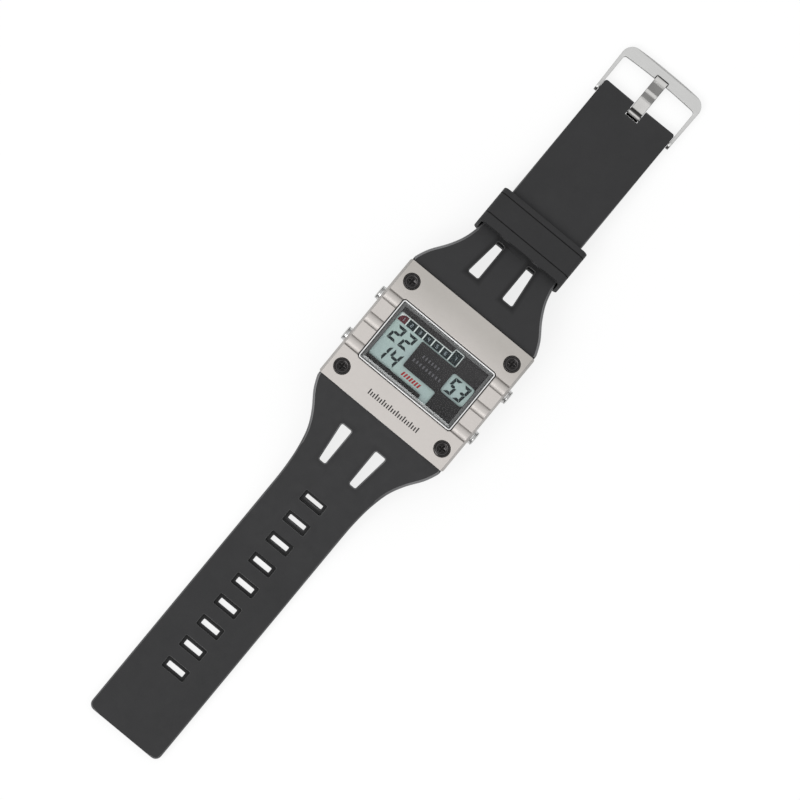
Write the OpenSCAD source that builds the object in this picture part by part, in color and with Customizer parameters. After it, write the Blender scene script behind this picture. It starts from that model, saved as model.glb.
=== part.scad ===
// Digital wristwatch with a flat metal bezel plate, a moulded resin case and a two-piece resin strap.
// +X points to 3 o'clock, +Y to the buckle and +Z out of the crystal. The origin is the centre of
// the case back's outer face. All sizes are in millimetres.
// The watch lies open on a table: the moulded straps arch down to it and lift the case off it.

/* [Case] */
// Height of the whole case, from the case back to the top of the bezel plate
case_h = 11.2; // [11:0.1:13]
// Width of the moulded case under the bezel plate, and of the strap's head
body_w = 42.2; // [41:0.1:45]
// Length of the case along the strap
case_l = 39; // [38.6:0.1:43]
// Radius of the upright corners of the case
body_corner = 0.6; // [0.3:0.1:1]
// How far the case back stands out of the case
back_proud = 0.4; // [0.2:0.05:0.6]
// Height at which the slanted lower side of the case ends
body_slant_h = 2.8; // [1.6:0.1:2.9]
// How far the slanted lower side is drawn in
body_slant_w = 1.7; // [0.5:0.1:2]
// Thickness of the case back
back_t = 1; // [0.8:0.05:1.2]
// Distance from the side of the case to the case back
back_side = 4.1; // [3.7:0.1:4.5]
// Distance from the end of the case to the case back
back_end = 2.2; // [1.8:0.1:2.6]
// Corner radius of the case back
back_corner = 2.5; // [1:0.1:4]
// Thickness of the rim that carries the dial mask
rim_t = 0.9; // [0.6:0.05:1.1]

/* [Bezel plate] */
// How far the bezel plate's foot stands out over the side of the case
bezel_over = 0.4; // [0.4:0.05:1]
// Thickness of the bezel plate
bezel_t = 3; // [2.6:0.05:3.2]
// Width of the slanted strip down each side of the bezel plate
bezel_slant = 0.7; // [0.3:0.05:1]
// Corner radius of the bezel plate
bezel_corner = 0.6; // [0.3:0.05:1]
// Width of the plain band at each end of the bezel plate
band_w = 9.8; // [9.5:0.1:9.9]
// How far the panels beside the window lie under the bands and the tops of their ribs
panel_drop = 0.2; // [0.1:0.05:0.4]
// Number of ribs on each side of the window
ribs = 3; // [2:1:4]
// Width of a rib's channel
rib_w = 3.4; // [2:0.1:4]
// Height of a rib over the floor of its channel
rib_h = 0.55; // [0.45:0.05:0.8]
// Width of the channel's floor that shows beside a rib
rib_line = 0.15; // [0.05:0.05:0.3]

/* [Corner screws] */
// Distance of a corner screw from the side of the case
screw_side = 3.7; // [3.5:0.1:3.8]
// Distance of a corner screw from the end of the case
screw_end = 4.8; // [4.5:0.1:5]
// Diameter of a corner screw's head
head_d = 4.3; // [3.6:0.1:4.5]
// Height of a corner screw's head
head_h = 1.5; // [1:0.05:1.8]
// Diameter of the dish in a corner screw's head
dish_d = 3.1; // [2.6:0.1:3.3]
// Depth of the dish in a corner screw's head
dish_depth = 0.2; // [0.1:0.05:0.3]
// Diameter of a corner screw's shank
shank_d = 1.9; // [1.6:0.1:2]
// Length of a corner screw's shank
shank_l = 6; // [5:0.1:6.4]
// Length of an arm-to-arm stroke of the cross recess
cross_l = 2.3; // [1.8:0.1:2.5]
// Width of a stroke of the cross recess
cross_w = 0.5; // [0.3:0.05:0.6]
// Depth of the cross recess under the dish
cross_depth = 0.7; // [0.3:0.05:0.8]
// Diameter of a threaded brass insert
insert_d = 3.2; // [2.8:0.1:3.4]
// Length of a threaded brass insert
insert_l = 5.4; // [4.5:0.1:5.6]

/* [Window] */
// Distance from the side of the case to the window in the bezel plate
window_side = 5; // [4.8:0.05:5.1]
// Distance from the end of the case to the window in the bezel plate
window_end = 9.4; // [9.2:0.05:9.5]
// Corner radius of the window
window_corner = 1; // [0.8:0.05:1.2]
// Gap that shows between the window in the bezel plate and the trim
trim_gap = 0.2; // [0.05:0.05:0.25]
// Width of the bright metal trim round the crystal
trim_w = 0.4; // [0.3:0.05:0.45]
// How far the trim and the crystal lie under the bezel plate's top
crystal_sink = 0.2; // [0.05:0.05:0.4]
// Thickness of the crystal
crystal_t = 2.1; // [1.4:0.05:2.2]
// Width of the bevel round the crystal's top
bevel_w = 0.95; // [0.4:0.05:1.1]
// Depth of the bevel round the crystal's top
bevel_depth = 0.5; // [0.2:0.05:0.8]
// Width of the crystal gasket's band
gasket_w = 0.6; // [0.5:0.05:0.7]

/* [Display] */
// How far the display glass lies inside the window at each side
lcd_side = 1.4; // [1.35:0.05:1.6]
// How far the display glass lies inside the window at each end
lcd_end = 0.9; // [0.85:0.05:1.1]
// Thickness of the display glass
lcd_t = 1.2; // [0.9:0.05:1.3]
// Corner radius of the windows in the dial mask
cutout_corner = 0.45; // [0.2:0.05:0.6]
// Distance of the display areas from the sides of the display glass
area_side = 0.3; // [0.2:0.05:0.6]
// Width of the column that shows hours and minutes
column_w = 9.4; // [8.6:0.1:9.8]
// Distance of the tall last day box from the top of the display glass
last_day_end = 0.8; // [0.4:0.1:1.4]
// How far the last day box stands over the day row
last_day_h = 1.4; // [0.8:0.1:2]
// Height of the day row
day_row_h = 2.8; // [2.4:0.1:3.2]
// Distance of the lower display area's foot from the bottom of the display glass
foot_end = 0.4; // [0.3:0.1:1]
// How far the foot reaches below the lower display area
foot_h = 1.5; // [0.8:0.1:1.8]
// Width of the foot of the lower display area
foot_w = 2.6; // [1.8:0.1:3.4]
// Height of the lower display area
lower_h = 3.1; // [2.6:0.1:3.3]
// Width of the seconds window
seconds_w = 7.55; // [7.2:0.05:7.6]
// Height of the seconds window
seconds_h = 6.1; // [5.6:0.1:7]
// How far the seconds window's middle lies under the middle of the display
seconds_drop = 0; // [0:0.1:0.6]
// Width of the mask between the seconds window and the other areas
seconds_gap = 0.45; // [0.4:0.05:0.8]
// Number of day boxes
days = 7; // [7:1:7]
// Hours that the display shows
hours_shown = 22; // [0:1:23]
// Minutes that the display shows
minutes_shown = 14; // [0:1:59]
// Seconds that the display shows
seconds_shown = 53; // [0:1:59]
// Gap between two day boxes
day_gap = 0.4; // [0.2:0.05:0.5]
// Width of a digit of the hours and the minutes
digit_w = 2.9; // [2.4:0.1:3]
// Height of a digit of the seconds
second_h = 4.9; // [4:0.1:5]
// Width of a digit of the seconds
second_w = 2.4; // [2:0.1:2.6]
// Width of a display segment as a share of the digit's height
segment_share = 0.16; // [0.12:0.01:0.2]
// Gap between two display segments as a share of the digit's height
segment_gap_share = 0.015; // [0.01:0.005:0.04]
// Slant of the digits in degrees
digit_slant = 8; // [0:1:10]

/* [Pushers] */
// Distance of a pusher from the middle of its side
pusher_y = 7.1; // [6.4:0.1:7.6]
// Height of a pusher's axis over the case back
pusher_z = 5.2; // [5:0.05:5.3]
// Diameter of a pusher's cap
cap_d = 4.2; // [3.6:0.1:4.3]
// How far a cap stands out of the case
cap_out = 1.6; // [1:0.1:2]
// Depth of a cap's counterbore in the case
cap_bore = 1.2; // [1:0.05:1.4]
// Travel of a pusher
pusher_travel = 0.8; // [0.5:0.05:0.8]
// Diameter of a pusher's stem
stem_d = 1.2; // [1:0.05:1.3]
// Outer diameter of a pusher's bush
bush_d = 3.4; // [3.2:0.1:3.6]
// Length of a pusher's bush
bush_l = 3.6; // [3.5:0.05:3.7]
// Diameter of the return spring's pocket in the bush
spring_pocket_d = 2.7; // [2.6:0.05:2.8]
// Depth of the return spring's pocket in the bush
spring_pocket_l = 1.5; // [1.3:0.05:1.6]
// Wire diameter of a return spring
wire_d = 0.24; // [0.16:0.02:0.28]
// Turns of a return spring
spring_turns = 4; // [3:1:5]

/* [Strap] */
// Width of the strap
strap_w = 24; // [22:0.1:24.2]
// Length over which the head narrows to the strap
flare_l = 30.25; // [26:0.25:31]
// Thickness of the strap's head at the case
strap_head_t = 5.6; // [5:0.1:6]
// How far the strap's top lies under the bezel plate's top at the case
strap_step = 1; // [0.6:0.1:1.4]
// Length over which the head thins out to the strap
thinning_l = 15; // [10:0.5:18]
// Distance of a vent's near end from the case
vent_start = 7; // [5:0.1:8]
// Length of a vent
vent_l = 11.3; // [6:0.1:12]
// Distance of a vent's straight inner edge from the middle
vent_in = 4.2; // [3:0.1:5]
// Distance of a vent's outer edge from the middle at its near end
vent_near = 7.6; // [7:0.1:8.4]
// Distance of a vent's outer edge from the middle at its far end
vent_far = 6.3; // [5.6:0.1:7]
// Corner radius of a vent
vent_corner = 0.5; // [0.2:0.05:0.8]
// Width of an ear that lies under the bezel plate
ear_w = 6; // [5.4:0.1:6.2]
// Length of an ear
ear_l = 6.9; // [6.7:0.1:6.9]
// Thickness of an ear
ear_t = 2.4; // [1.6:0.1:2.6]

/* [Short strap] */
// Slope of the short strap in degrees
short_slope = 8.8; // [7:0.1:9.4]
// Length of the short strap
short_l = 71.6; // [66:0.2:74]
// Thickness of the short strap
short_t = 2.8; // [2.6:0.05:3]
// Corner radius of the short strap's end
short_corner = 0.8; // [0.3:0.1:2]
// Width of the notch for the buckle's tongue
notch_w = 4.05; // [4.02:0.01:5]
// Depth of the notch for the buckle's tongue
notch_l = 4.1; // [4:0.1:5]
// Distance of the spring bar from the strap's end
bar_inset = 2.5; // [2.4:0.05:2.6]

/* [Long strap] */
// Slope of the long strap's first stretch in degrees
long_slope = 16; // [13:0.5:17]
// Radius of the bend where the long strap meets the table
long_bend_r = 83; // [70:1:88]
// Length of the long strap
long_l = 110.6; // [106:0.2:116]
// Thickness of the long strap
long_t = 2.4; // [2.1:0.05:2.8]
// Corner radius of the long strap's tip
tip_corner = 1.9; // [1:0.1:4]
// Number of adjusting slots
slots = 9; // [5:1:10]
// Distance of the first slot from the case
slot_start = 29.6; // [28:0.2:32]
// Distance between two slots
slot_pitch = 7.3; // [6:0.1:7.5]
// Width of a slot across the strap
slot_w = 5.4; // [4:0.1:6]
// Length of a slot along the strap
slot_l = 1.5; // [1.4:0.05:2]
// Width of the recess round a slot
recess_w = 7.4; // [6.6:0.1:8]
// Length of the recess round a slot
recess_l = 3.5; // [2.6:0.1:4]
// Depth of the recess round a slot
recess_depth = 0.9; // [0.3:0.05:1]

/* [Keeper] */
// Distance of the keeper's middle from the case, along the short strap
keeper_at = 24.6; // [24.6:0.1:28]
// Length of the keeper along the strap
keeper_l = 11.6; // [8:0.1:11.8]
// Lean of the keeper over the strap in degrees
keeper_lean = 11; // [0:1:12]
// Gap between the strap's edge and the inside of the keeper
keeper_side_gap = 1.3; // [1.3:0.05:2]
// Thickness of the keeper's top and bottom
keeper_t = 1.3; // [1:0.05:1.6]
// Thickness of the keeper's sides
keeper_side_t = 1; // [0.8:0.05:1.4]
// Outer corner radius of the keeper
keeper_corner = 1.5; // [1:0.1:2.2]
// Width of the rim at the keeper's near end
near_rim = 2.9; // [1.5:0.1:3.5]
// Width of the rim at the keeper's far end
far_rim = 1.8; // [1:0.1:3]
// Width of the line that sets off a rim
line_w = 0.3; // [0.15:0.05:0.4]
// Depth of the line that sets off a rim
line_depth = 0.3; // [0.1:0.05:0.4]

/* [Buckle] */
// Gap between the strap's edge and a frame arm
arm_gap = 0.1; // [0.1:0.05:0.9]
// Distance from the spring bar to the frame's outer edge
buckle_l = 14.9; // [13:0.1:17]
// Width of the frame's end bar
end_bar_w = 3.8; // [3:0.1:4]
// Height of the frame's end bar
end_bar_h = 2.2; // [2:0.05:2.6]
// How far the end bar bows outwards at its middle
buckle_crown = 0.35; // [0.1:0.05:0.6]
// Outer corner radius of the frame
buckle_corner = 3.4; // [1.5:0.1:4]
// Thickness of a frame arm at the spring bar
arm_t = 0.8; // [0.7:0.05:0.9]
// Thickness of a frame arm at the end bar
arm_root_t = 1.15; // [1:0.05:1.4]
// Diameter of the rounded end of a frame arm
arm_end_d = 3.2; // [2.6:0.1:3.3]
// Width of the tongue
tongue_w = 3.75; // [3:0.05:3.8]
// Thickness of the tongue
tongue_t = 1.1; // [0.9:0.05:1.2]
// Depth of the seat for the tongue's tip in the end bar
tongue_seat = 0.5; // [0.3:0.05:0.7]
// Length of that seat along the tongue
tongue_seat_l = 1.2; // [1:0.1:2.4]
// Wall of the tongue's eye round the spring bar
eye_t = 0.5; // [0.4:0.05:0.55]
// Diameter of the spring bar's tube
bar_d = 1.5; // [1.4:0.05:1.6]
// Wall of the spring bar's tube
bar_wall = 0.25; // [0.2:0.05:0.3]
// Diameter of the spring bar's tips
pin_d = 0.8; // [0.6:0.05:0.85]
// Length of a tip inside the tube
pin_in = 4; // [2:0.1:6]

/* [Module] */
// Distance from the side of the case to the module's frame
module_side = 6.3; // [6.3:0.05:6.6]
// Distance from the end of the case to the module's frame
module_end = 7.3; // [7.3:0.05:7.7]
// Wall at each side of the module's frame
frame_wall = 1.4; // [1.2:0.05:1.6]
// Thickness of the circuit board
board_t = 0.7; // [0.5:0.05:0.8]
// Thickness of the reflector under the display
reflector_t = 0.15; // [0.1:0.01:0.2]
// Thickness of the light guide
guide_t = 0.85; // [0.5:0.05:0.9]
// Distance of the battery from the ends of the module's frame
battery_end = 2.4; // [2.2:0.1:4]
// Distance of the battery from the right side of the module's frame
battery_side = 1.3; // [1:0.1:1.6]
// Thickness of the battery
battery_t = 1.6; // [1.2:0.05:1.6]
// Diameter of the buzzer disc
buzzer_d = 15; // [10:0.5:16]
// Thickness of the buzzer disc
buzzer_t = 0.25; // [0.15:0.05:0.3]
// Width of a contact strip under the display
zebra_w = 1.2; // [0.8:0.1:1.3]
// Width of the controller chip
chip_w = 6; // [4:0.1:8]
// Height of the controller chip
chip_h = 1; // [0.7:0.05:1.1]
// Diameter of the quartz crystal's can
quartz_d = 1.5; // [1.2:0.1:1.6]
// Length of the quartz crystal's can
quartz_l = 5; // [4:0.1:6]

/* [Fits] */
// Gap between a round hole and the shaft that turns or slides in it, on the radius
running_gap = 0.05; // [0.02:0.01:0.08]
// Gap between fixed pieces beside each other
seat_gap = 0.05; // [0.03:0.01:0.1]
// Gap between the tongue's eye or a sliding piece and its neighbours
free_gap = 0.12; // [0.08:0.01:0.14]

/* [Hidden] */

$fn = 64;
// Overrun of every cut past the face that it opens
cut = 0.2;
// Straight steps in a rounded corner of an outline
corner_steps = 6;
// Straight steps between two points of a smooth curve
curve_steps = 4;
// Straight steps in the long strap's bend
bend_steps = 16;

// Shares of the flare's length and of the head's extra width along the strap's edge
flare_shares = [
    [0, 1], [0.04, 0.99], [0.16, 0.81], [0.3, 0.49], [0.425, 0.27],
    [0.54, 0.15], [0.7, 0.055], [0.87, 0.01], [1, 0]
];
// Shares of the thinning length and of the head's extra thickness along the strap's underside
thinning_shares = [[0, 1], [0.3, 0.75], [0.7, 0.2], [1, 0]];
// Shares of the way to the end bar and of the tongue's rise, which it makes in two steps
tongue_shares = [[0, 0], [0.38, 0.02], [0.56, 0.42], [0.65, 0.48], [0.87, 0.98], [1, 1]];

// Sizes of the case's parts, all inside its width and length
bezel_w = body_w + 2 * bezel_over;
panel_l = case_l - 2 * band_w;
rib_pitch = (panel_l - rib_w) / (ribs - 1);
back_w = body_w - 2 * back_side;
back_l = case_l - 2 * back_end;
screw_dx = body_w - 2 * screw_side;
screw_dy = case_l - 2 * screw_end;
window_w = body_w - 2 * window_side;
window_l = case_l - 2 * window_end;
lcd_w = window_w - 2 * lcd_side;
lcd_l = window_l - 2 * lcd_end;
module_w = body_w - 2 * module_side;
module_l = case_l - 2 * module_end;

// Heights of the stack inside the case
seat_z = case_h - bezel_t;
lcd_z = seat_z - lcd_t;
reflector_z = lcd_z - reflector_t;
guide_z = reflector_z - guide_t;
clip_t = 0.2;
battery_z = back_t + buzzer_t + seat_gap + clip_t;
board_z = battery_z + battery_t + clip_t;
frame_z = board_z + board_t;
crystal_z = case_h - crystal_sink - crystal_t;
mask_t = crystal_z - seat_z;

// Room for the module and the display in the case
module_gap = 0.2;
cavity_w = module_w + 2 * module_gap;
cavity_l = module_l + 2 * module_gap;
cavity_corner = 1.2;
lcd_gap = 0.2;
opening_w = lcd_w + 2 * lcd_gap;
opening_l = lcd_l + 2 * lcd_gap;
opening_corner = 0.5;

// Gasket and screws of the case back
back_gasket_w = 0.8;
back_gasket_t = 0.6;
gasket_land = 0.35;
back_gasket_out_w = cavity_w + 2 * gasket_land + 2 * back_gasket_w;
back_gasket_out_l = cavity_l + 2 * gasket_land + 2 * back_gasket_w;
back_screw_side = 6;
back_screw_end = 2;
back_screw_dx = back_w - 2 * back_screw_side;
back_screw_dy = back_l - 2 * back_screw_end;
back_screw_d = 1.2;
back_screw_l = 3;
back_head_d = 2.4;
back_head_h = 0.7;
back_slot_w = 0.4;
back_slot_depth = 0.35;
back_screw_sink = 0.05;

// Corner screws and what they pass through
head_sink = 0.05;
head_seat_z = case_h - head_sink - head_h;
head_gap = 0.15;
insert_top = seat_z - seat_gap;
insert_low = insert_top - insert_l;

// Crystal, trim, gasket and dial mask
trim_out_w = window_w - 2 * trim_gap;
trim_out_l = window_l - 2 * trim_gap;
crystal_w = trim_out_w - 2 * trim_w - 2 * seat_gap;
crystal_l = trim_out_l - 2 * trim_w - 2 * seat_gap;
trim_corner = window_corner - trim_gap;
crystal_corner = trim_corner - trim_w - seat_gap;
mask_w = trim_out_w - 2 * gasket_w - 2 * seat_gap;
mask_l = trim_out_l - 2 * gasket_w - 2 * seat_gap;
ink_t = 0.06;

// Display areas, from the sides and the ends of the display glass
area_left = area_side - lcd_w / 2;
column_right = area_left + column_w;
seconds_right = lcd_w / 2 - area_side;
seconds_left = seconds_right - seconds_w;
area_right = seconds_left - seconds_gap;
foot_left = area_right - foot_w;
last_day_top = lcd_l / 2 - last_day_end;
day_top = last_day_top - last_day_h;
day_low = day_top - day_row_h;
foot_low = foot_end - lcd_l / 2;
area_low = foot_low + foot_h;
lower_top = area_low + lower_h;
seconds_corner = 0.8;
day_frame = 0.35;
day_w = (area_right - area_left - day_frame * 2 - day_gap * (days - 1)) / days;
last_day_left = area_right - 2 * day_frame - day_w;

// Digits: hours over minutes in the left column, seconds in their own window
digit_gap = 0.8;
column_inset = 1;
over_hours = 0.45;
under_hours = 1;
under_minutes = 0.65;
second_gap = 0.75;
second_inset = 0.65;
digit_h = (day_low - area_low - over_hours - under_hours - under_minutes) / 2;
minutes_low = area_low + under_minutes;
hours_low = minutes_low + digit_h + under_hours;
lit = ["abcdef", "bc", "abged", "abgcd", "fgbc", "afgcd", "afgedc", "abc", "abcdefg", "abcdfg"];

// Pushers: the side wall of the case and the places along the axis
wall_x = body_w / 2;
cap_in_x = wall_x - cap_bore + pusher_travel + free_gap;
cap_end_x = wall_x + cap_out;
bush_out_x = wall_x - cap_bore;
bush_in_x = bush_out_x - bush_l;
clip_gap = 0.05;
clip_ring_t = 0.25;
clip_ring_d = 2;
clip_groove = 0.15;
stem_tail = 0.25;
stem_in_x = bush_in_x - clip_gap - clip_ring_t - stem_tail;
clip_room_d = 2.6;
spring_seat_x = bush_out_x - spring_pocket_l;
seal_inset = 0.72;
seal_x = bush_in_x + seal_inset;
seal_groove_w = 0.6;
seal_r = 0.25;
seal_slack = 0.02;
cap_edge = 0.35;
cap_line_w = 0.5;
cap_line_depth = 0.15;
leaf_t = 0.15;
leaf_w = 2.4;
leaf_h = 2;
coil_sides = 6;
coil_steps = 12;

// Under the display glass everything lies between the two contact strips
strip_y = lcd_l / 2 - zebra_w / 2 - lcd_gap;
well_l = lcd_l - lcd_gap;
well_w = module_w - 2 * frame_wall;
guide_l = 2 * strip_y - zebra_w - 2 * seat_gap;
led_l = 1.4;
led_w = 2.4;
led_h = 0.7;

// Battery and buzzer
battery_d = min(module_w, module_l) - 2 * battery_end;
battery_x = module_w / 2 - battery_side - battery_d / 2;
battery_step = 0.2;
battery_edge = 0.45;
clip_w = 5;
contact_d = 1;
contact_side = 1.6;
contact_x = contact_side - module_w / 2;
buzzer_x = contact_x + buzzer_d / 2 - contact_d;

// Places of the strap
root_y = case_l / 2 + seat_gap;
root_z = case_h - strap_step;
bar_at = short_l - bar_inset;
bore_d = bar_d + 2 * running_gap;
table_z = root_z - short_l * sin(short_slope) - short_t * cos(short_slope);
strap_lead = 3;
ear_root = 1;
ear_hole_d = insert_d + 2 * free_gap;

// Long strap: length of the straight slope, then the bend, then the part that lies flat
bend_drop = long_bend_r * (1 - cos(long_slope));
slope_l = (root_z - (table_z + long_t) - bend_drop) / sin(long_slope);
bend_y = root_y + slope_l * cos(long_slope) + long_bend_r * sin(long_slope);
bend_z = table_z + long_t + long_bend_r;
bend_l = long_bend_r * long_slope * PI / 180;
tip_y = bend_y + long_l - slope_l - bend_l;
slot_corner = 0.2;
recess_corner = 0.45;

// Keeper: the gap is as high as the leaning keeper needs to pass over the strap
keeper_slack = 0.22;
keeper_gap_w = strap_w + 2 * keeper_side_gap;
keeper_gap_h = short_t / cos(keeper_lean) + keeper_l * tan(keeper_lean) + 2 * keeper_slack;
keeper_gap_corner = 0.5;

// Buckle: the pivot is the spring bar, and the frame tilts until its end bar meets the table
frame_gap_w = strap_w + 2 * arm_gap;
buckle_w = frame_gap_w + 2 * arm_root_t;
pivot_y = root_y + bar_at * cos(short_slope) - short_t / 2 * sin(short_slope);
pivot_z = root_z - bar_at * sin(short_slope) - short_t / 2 * cos(short_slope);
pivot_h = pivot_z - table_z;
buckle_reach = sqrt(buckle_l * buckle_l + end_bar_h * end_bar_h / 4);
buckle_tilt = asin(pivot_h / buckle_reach) - atan(end_bar_h / 2 / buckle_l);
frame_inner_corner = 0.8;
end_bar_edge = 0.75;
pin_blind = 0.3;
end_bar_y = buckle_l - end_bar_w;
tongue_eye_d = bore_d + 2 * eye_t;
tongue_start = -0.7;
tongue_rest = end_bar_h / 2 - tongue_seat + free_gap + tongue_t / 2;
tongue_reach = end_bar_y + tongue_seat_l - free_gap;
tip_round = 0.6;
arm_waist_share = 0.8;
bar_l = frame_gap_w - 2 * free_gap;

function unit(v) = v / norm(v);
function reversed(p) = [for (i = [len(p) - 1 : -1 : 0]) p[i]];
function mirrored(side) = concat(side, [for (p = reversed(side)) [-p.x, p.y]]);
function arc(centre, r, from, to, steps) = [
    for (i = [0 : steps])
        let (a = from + (to - from) * i / steps)
        centre + r * [cos(a), sin(a)]
];

// The corner at place i of an outline, as an arc of radius r that is tangent to both sides
function corner(outline, i, r) =
    let (
        n = len(outline),
        here = outline[i],
        back = unit(outline[(i + n - 1) % n] - here),
        ahead = unit(outline[(i + 1) % n] - here),
        half = acos(back * ahead) / 2,
        centre = here + unit(back + ahead) * r / sin(half),
        start = here + back * r / tan(half) - centre,
        end = here + ahead * r / tan(half) - centre,
        from = atan2(start.y, start.x),
        turn = (atan2(end.y, end.x) - from + 540) % 360 - 180
    )
    arc(centre, r, from, from + turn, corner_steps);
function rounded(outline, r) = [for (i = [0 : len(outline) - 1]) each corner(outline, i, r)];

// A smooth curve through the given points, level with its neighbours at each one
function between(a, b, c, d, t) =
    (2 * b + (c - a) * t + (2 * a - 5 * b + 4 * c - d) * t * t + (3 * b - a - 3 * c + d) * t * t * t) / 2;
function smooth(p) = [
    for (i = [0 : len(p) - 2], k = [0 : curve_steps - 1])
        between(p[max(i - 1, 0)], p[i], p[i + 1], p[min(i + 2, len(p) - 1)], k / curve_steps),
    p[len(p) - 1]
];

// A flat rectangle with round corners, about the middle
module rounded_rect(w, l, r) {
    square([w - 2 * r, l], center = true);
    square([w, l - 2 * r], center = true);
    for (x = [-1, 1], y = [-1, 1])
        translate([x * (w / 2 - r), y * (l / 2 - r)])
            circle(r);
}

// A plate with round corners that stands on height z
module plate(w, l, r, z, h) {
    translate([0, 0, z])
        linear_extrude(h)
            rounded_rect(w, l, r);
}

// A flat ring between two rounded rectangles, standing on height z
module frame_ring(w, l, r, band, z, h) {
    difference() {
        plate(w, l, r, z, h);
        plate(w - 2 * band, l - 2 * band, max(r - band, cut), z - cut, h + 2 * cut);
    }
}

// An outline in X and Z, carried along Y by the given length about the middle
module along_y(l) {
    rotate([90, 0, 0])
        linear_extrude(l, center = true)
            children();
}

// An outline whose X is Y of the part and whose Y is its Z, carried across the strap
module across(w) {
    rotate([90, 0, 90])
        linear_extrude(w, center = true)
            children();
}

// A cylinder along X from one place to another
module rod_x(x0, x1, d) {
    translate([x0, 0, 0])
        rotate([0, 90, 0])
            cylinder(h = x1 - x0, d = d);
}

module at_screws(dx, dy) {
    for (x = [-1, 1], y = [-1, 1])
        translate([x * dx / 2, y * dy / 2, 0])
            children();
}

// Puts a piece made for the right upper pusher on one of the four axes
module at_pusher(side, end) {
    translate([0, end * pusher_y, pusher_z])
        mirror([side < 0 ? 1 : 0, 0, 0])
            children();
}
module at_pushers() {
    for (side = [-1, 1], end = [-1, 1])
        at_pusher(side, end)
            children();
}

// The short strap's own frame: X across, Y down the slope, Z out of its top face
module on_short_strap(s, n) {
    translate([0, root_y, root_z])
        rotate([-short_slope, 0, 0])
            translate([0, s, n])
                children();
}

// The long strap's own frame at the distance s along it, drawn towards +Y
module on_long_strap(s) {
    angle = s < slope_l ? long_slope : max(long_slope - (s - slope_l) / long_bend_r * 180 / PI, 0);
    y = s < slope_l ? root_y + s * cos(long_slope)
        : s < slope_l + bend_l ? bend_y - long_bend_r * sin(angle)
        : bend_y + s - slope_l - bend_l;
    z = s < slope_l ? root_z - s * sin(long_slope) : bend_z - long_bend_r * cos(angle);
    translate([0, y, z])
        rotate([-angle, 0, 0])
            children();
}

// The buckle's own frame: the spring bar's axis, with Y towards the end bar
module at_pivot() {
    translate([0, pivot_y, pivot_z])
        rotate([-buckle_tilt, 0, 0])
            children();
}

module case_section() {
    low_w = body_w / 2 - body_slant_w;
    polygon([
        [-low_w, back_proud], [low_w, back_proud], [body_w / 2, body_slant_h],
        [body_w / 2, seat_z], [-body_w / 2, seat_z], [-body_w / 2, body_slant_h]
    ]);
}

module case_body() {
    color("#343436")
    difference() {
        intersection() {
            along_y(case_l)
                case_section();
            plate(body_w, case_l, body_corner, 0, case_h);
        }
        plate(back_w + 2 * seat_gap, back_l + 2 * seat_gap, back_corner + seat_gap, 0, back_t);
        frame_ring(back_gasket_out_w, back_gasket_out_l, cavity_corner + gasket_land + back_gasket_w,
            back_gasket_w, back_t - cut, back_gasket_t + cut);
        plate(cavity_w, cavity_l, cavity_corner, back_t - cut, seat_z - rim_t - back_t + cut);
        plate(opening_w, opening_l, opening_corner, back_t, seat_z);
        at_screws(back_screw_dx, back_screw_dy)
            translate([0, 0, back_t - cut])
                cylinder(h = back_screw_l + 2 * cut, d = back_screw_d);
        at_screws(screw_dx, screw_dy)
            translate([0, 0, insert_low])
                cylinder(h = insert_l + cut, d = insert_d);
        for (end = [0, 1])
            mirror([0, end, 0])
                ear_pockets();
        at_pushers() {
            rod_x(bush_out_x, wall_x + cut, cap_d + 2 * head_gap);
            rod_x(bush_in_x, bush_out_x + cut, bush_d);
            rod_x(cavity_w / 2 - cut, bush_in_x + cut, clip_room_d);
        }
    }
}

module ear_pockets() {
    for (side = [-1, 1])
        translate([side * screw_dx / 2 - ear_w / 2 - seat_gap, root_y - ear_l - seat_gap, seat_z - ear_t])
            cube([ear_w + 2 * seat_gap, ear_l + seat_gap, ear_t + cut]);
}

module case_back() {
    color("silver")
    difference() {
        plate(back_w, back_l, back_corner, 0, back_t);
        at_screws(back_screw_dx, back_screw_dy) {
            translate([0, 0, -cut])
                cylinder(h = back_head_h + back_screw_sink + cut, d = back_head_d + 2 * seat_gap);
            cylinder(h = back_t + cut, d = back_screw_d + 2 * seat_gap);
        }
    }
}

module back_gasket() {
    color("#222222")
        frame_ring(back_gasket_out_w, back_gasket_out_l, cavity_corner + gasket_land + back_gasket_w,
            back_gasket_w, back_t, back_gasket_t);
}

module back_screws() {
    color("silver")
    at_screws(back_screw_dx, back_screw_dy)
        difference() {
            union() {
                translate([0, 0, back_screw_sink])
                    cylinder(h = back_head_h, d = back_head_d);
                translate([0, 0, back_screw_sink])
                    cylinder(h = back_t + back_screw_l - back_screw_sink, d = back_screw_d);
            }
            for (turn = [0, 90])
                rotate([0, 0, turn])
                    translate([-back_screw_d / 2, -back_slot_w / 2, 0])
                        cube([back_screw_d, back_slot_w, back_slot_depth]);
        }
}

module screw_inserts() {
    color("goldenrod")
    at_screws(screw_dx, screw_dy)
        translate([0, 0, insert_low])
            difference() {
                cylinder(h = insert_l, d = insert_d);
                translate([0, 0, -cut])
                    cylinder(h = insert_l + 2 * cut, d = shank_d + 2 * running_gap);
            }
}

// The bezel plate with its slanted sides and before anything is cut from it
module bezel_blank() {
    top_w = bezel_w / 2 - bezel_slant;
    intersection() {
        along_y(case_l)
            polygon([[-bezel_w / 2, seat_z], [bezel_w / 2, seat_z], [top_w, case_h], [-top_w, case_h]]);
        plate(bezel_w, case_l, bezel_corner, 0, case_h + cut);
    }
}

module at_ribs() {
    for (i = [0 : ribs - 1])
        translate([0, (i - (ribs - 1) / 2) * rib_pitch, 0])
            children();
}

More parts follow.
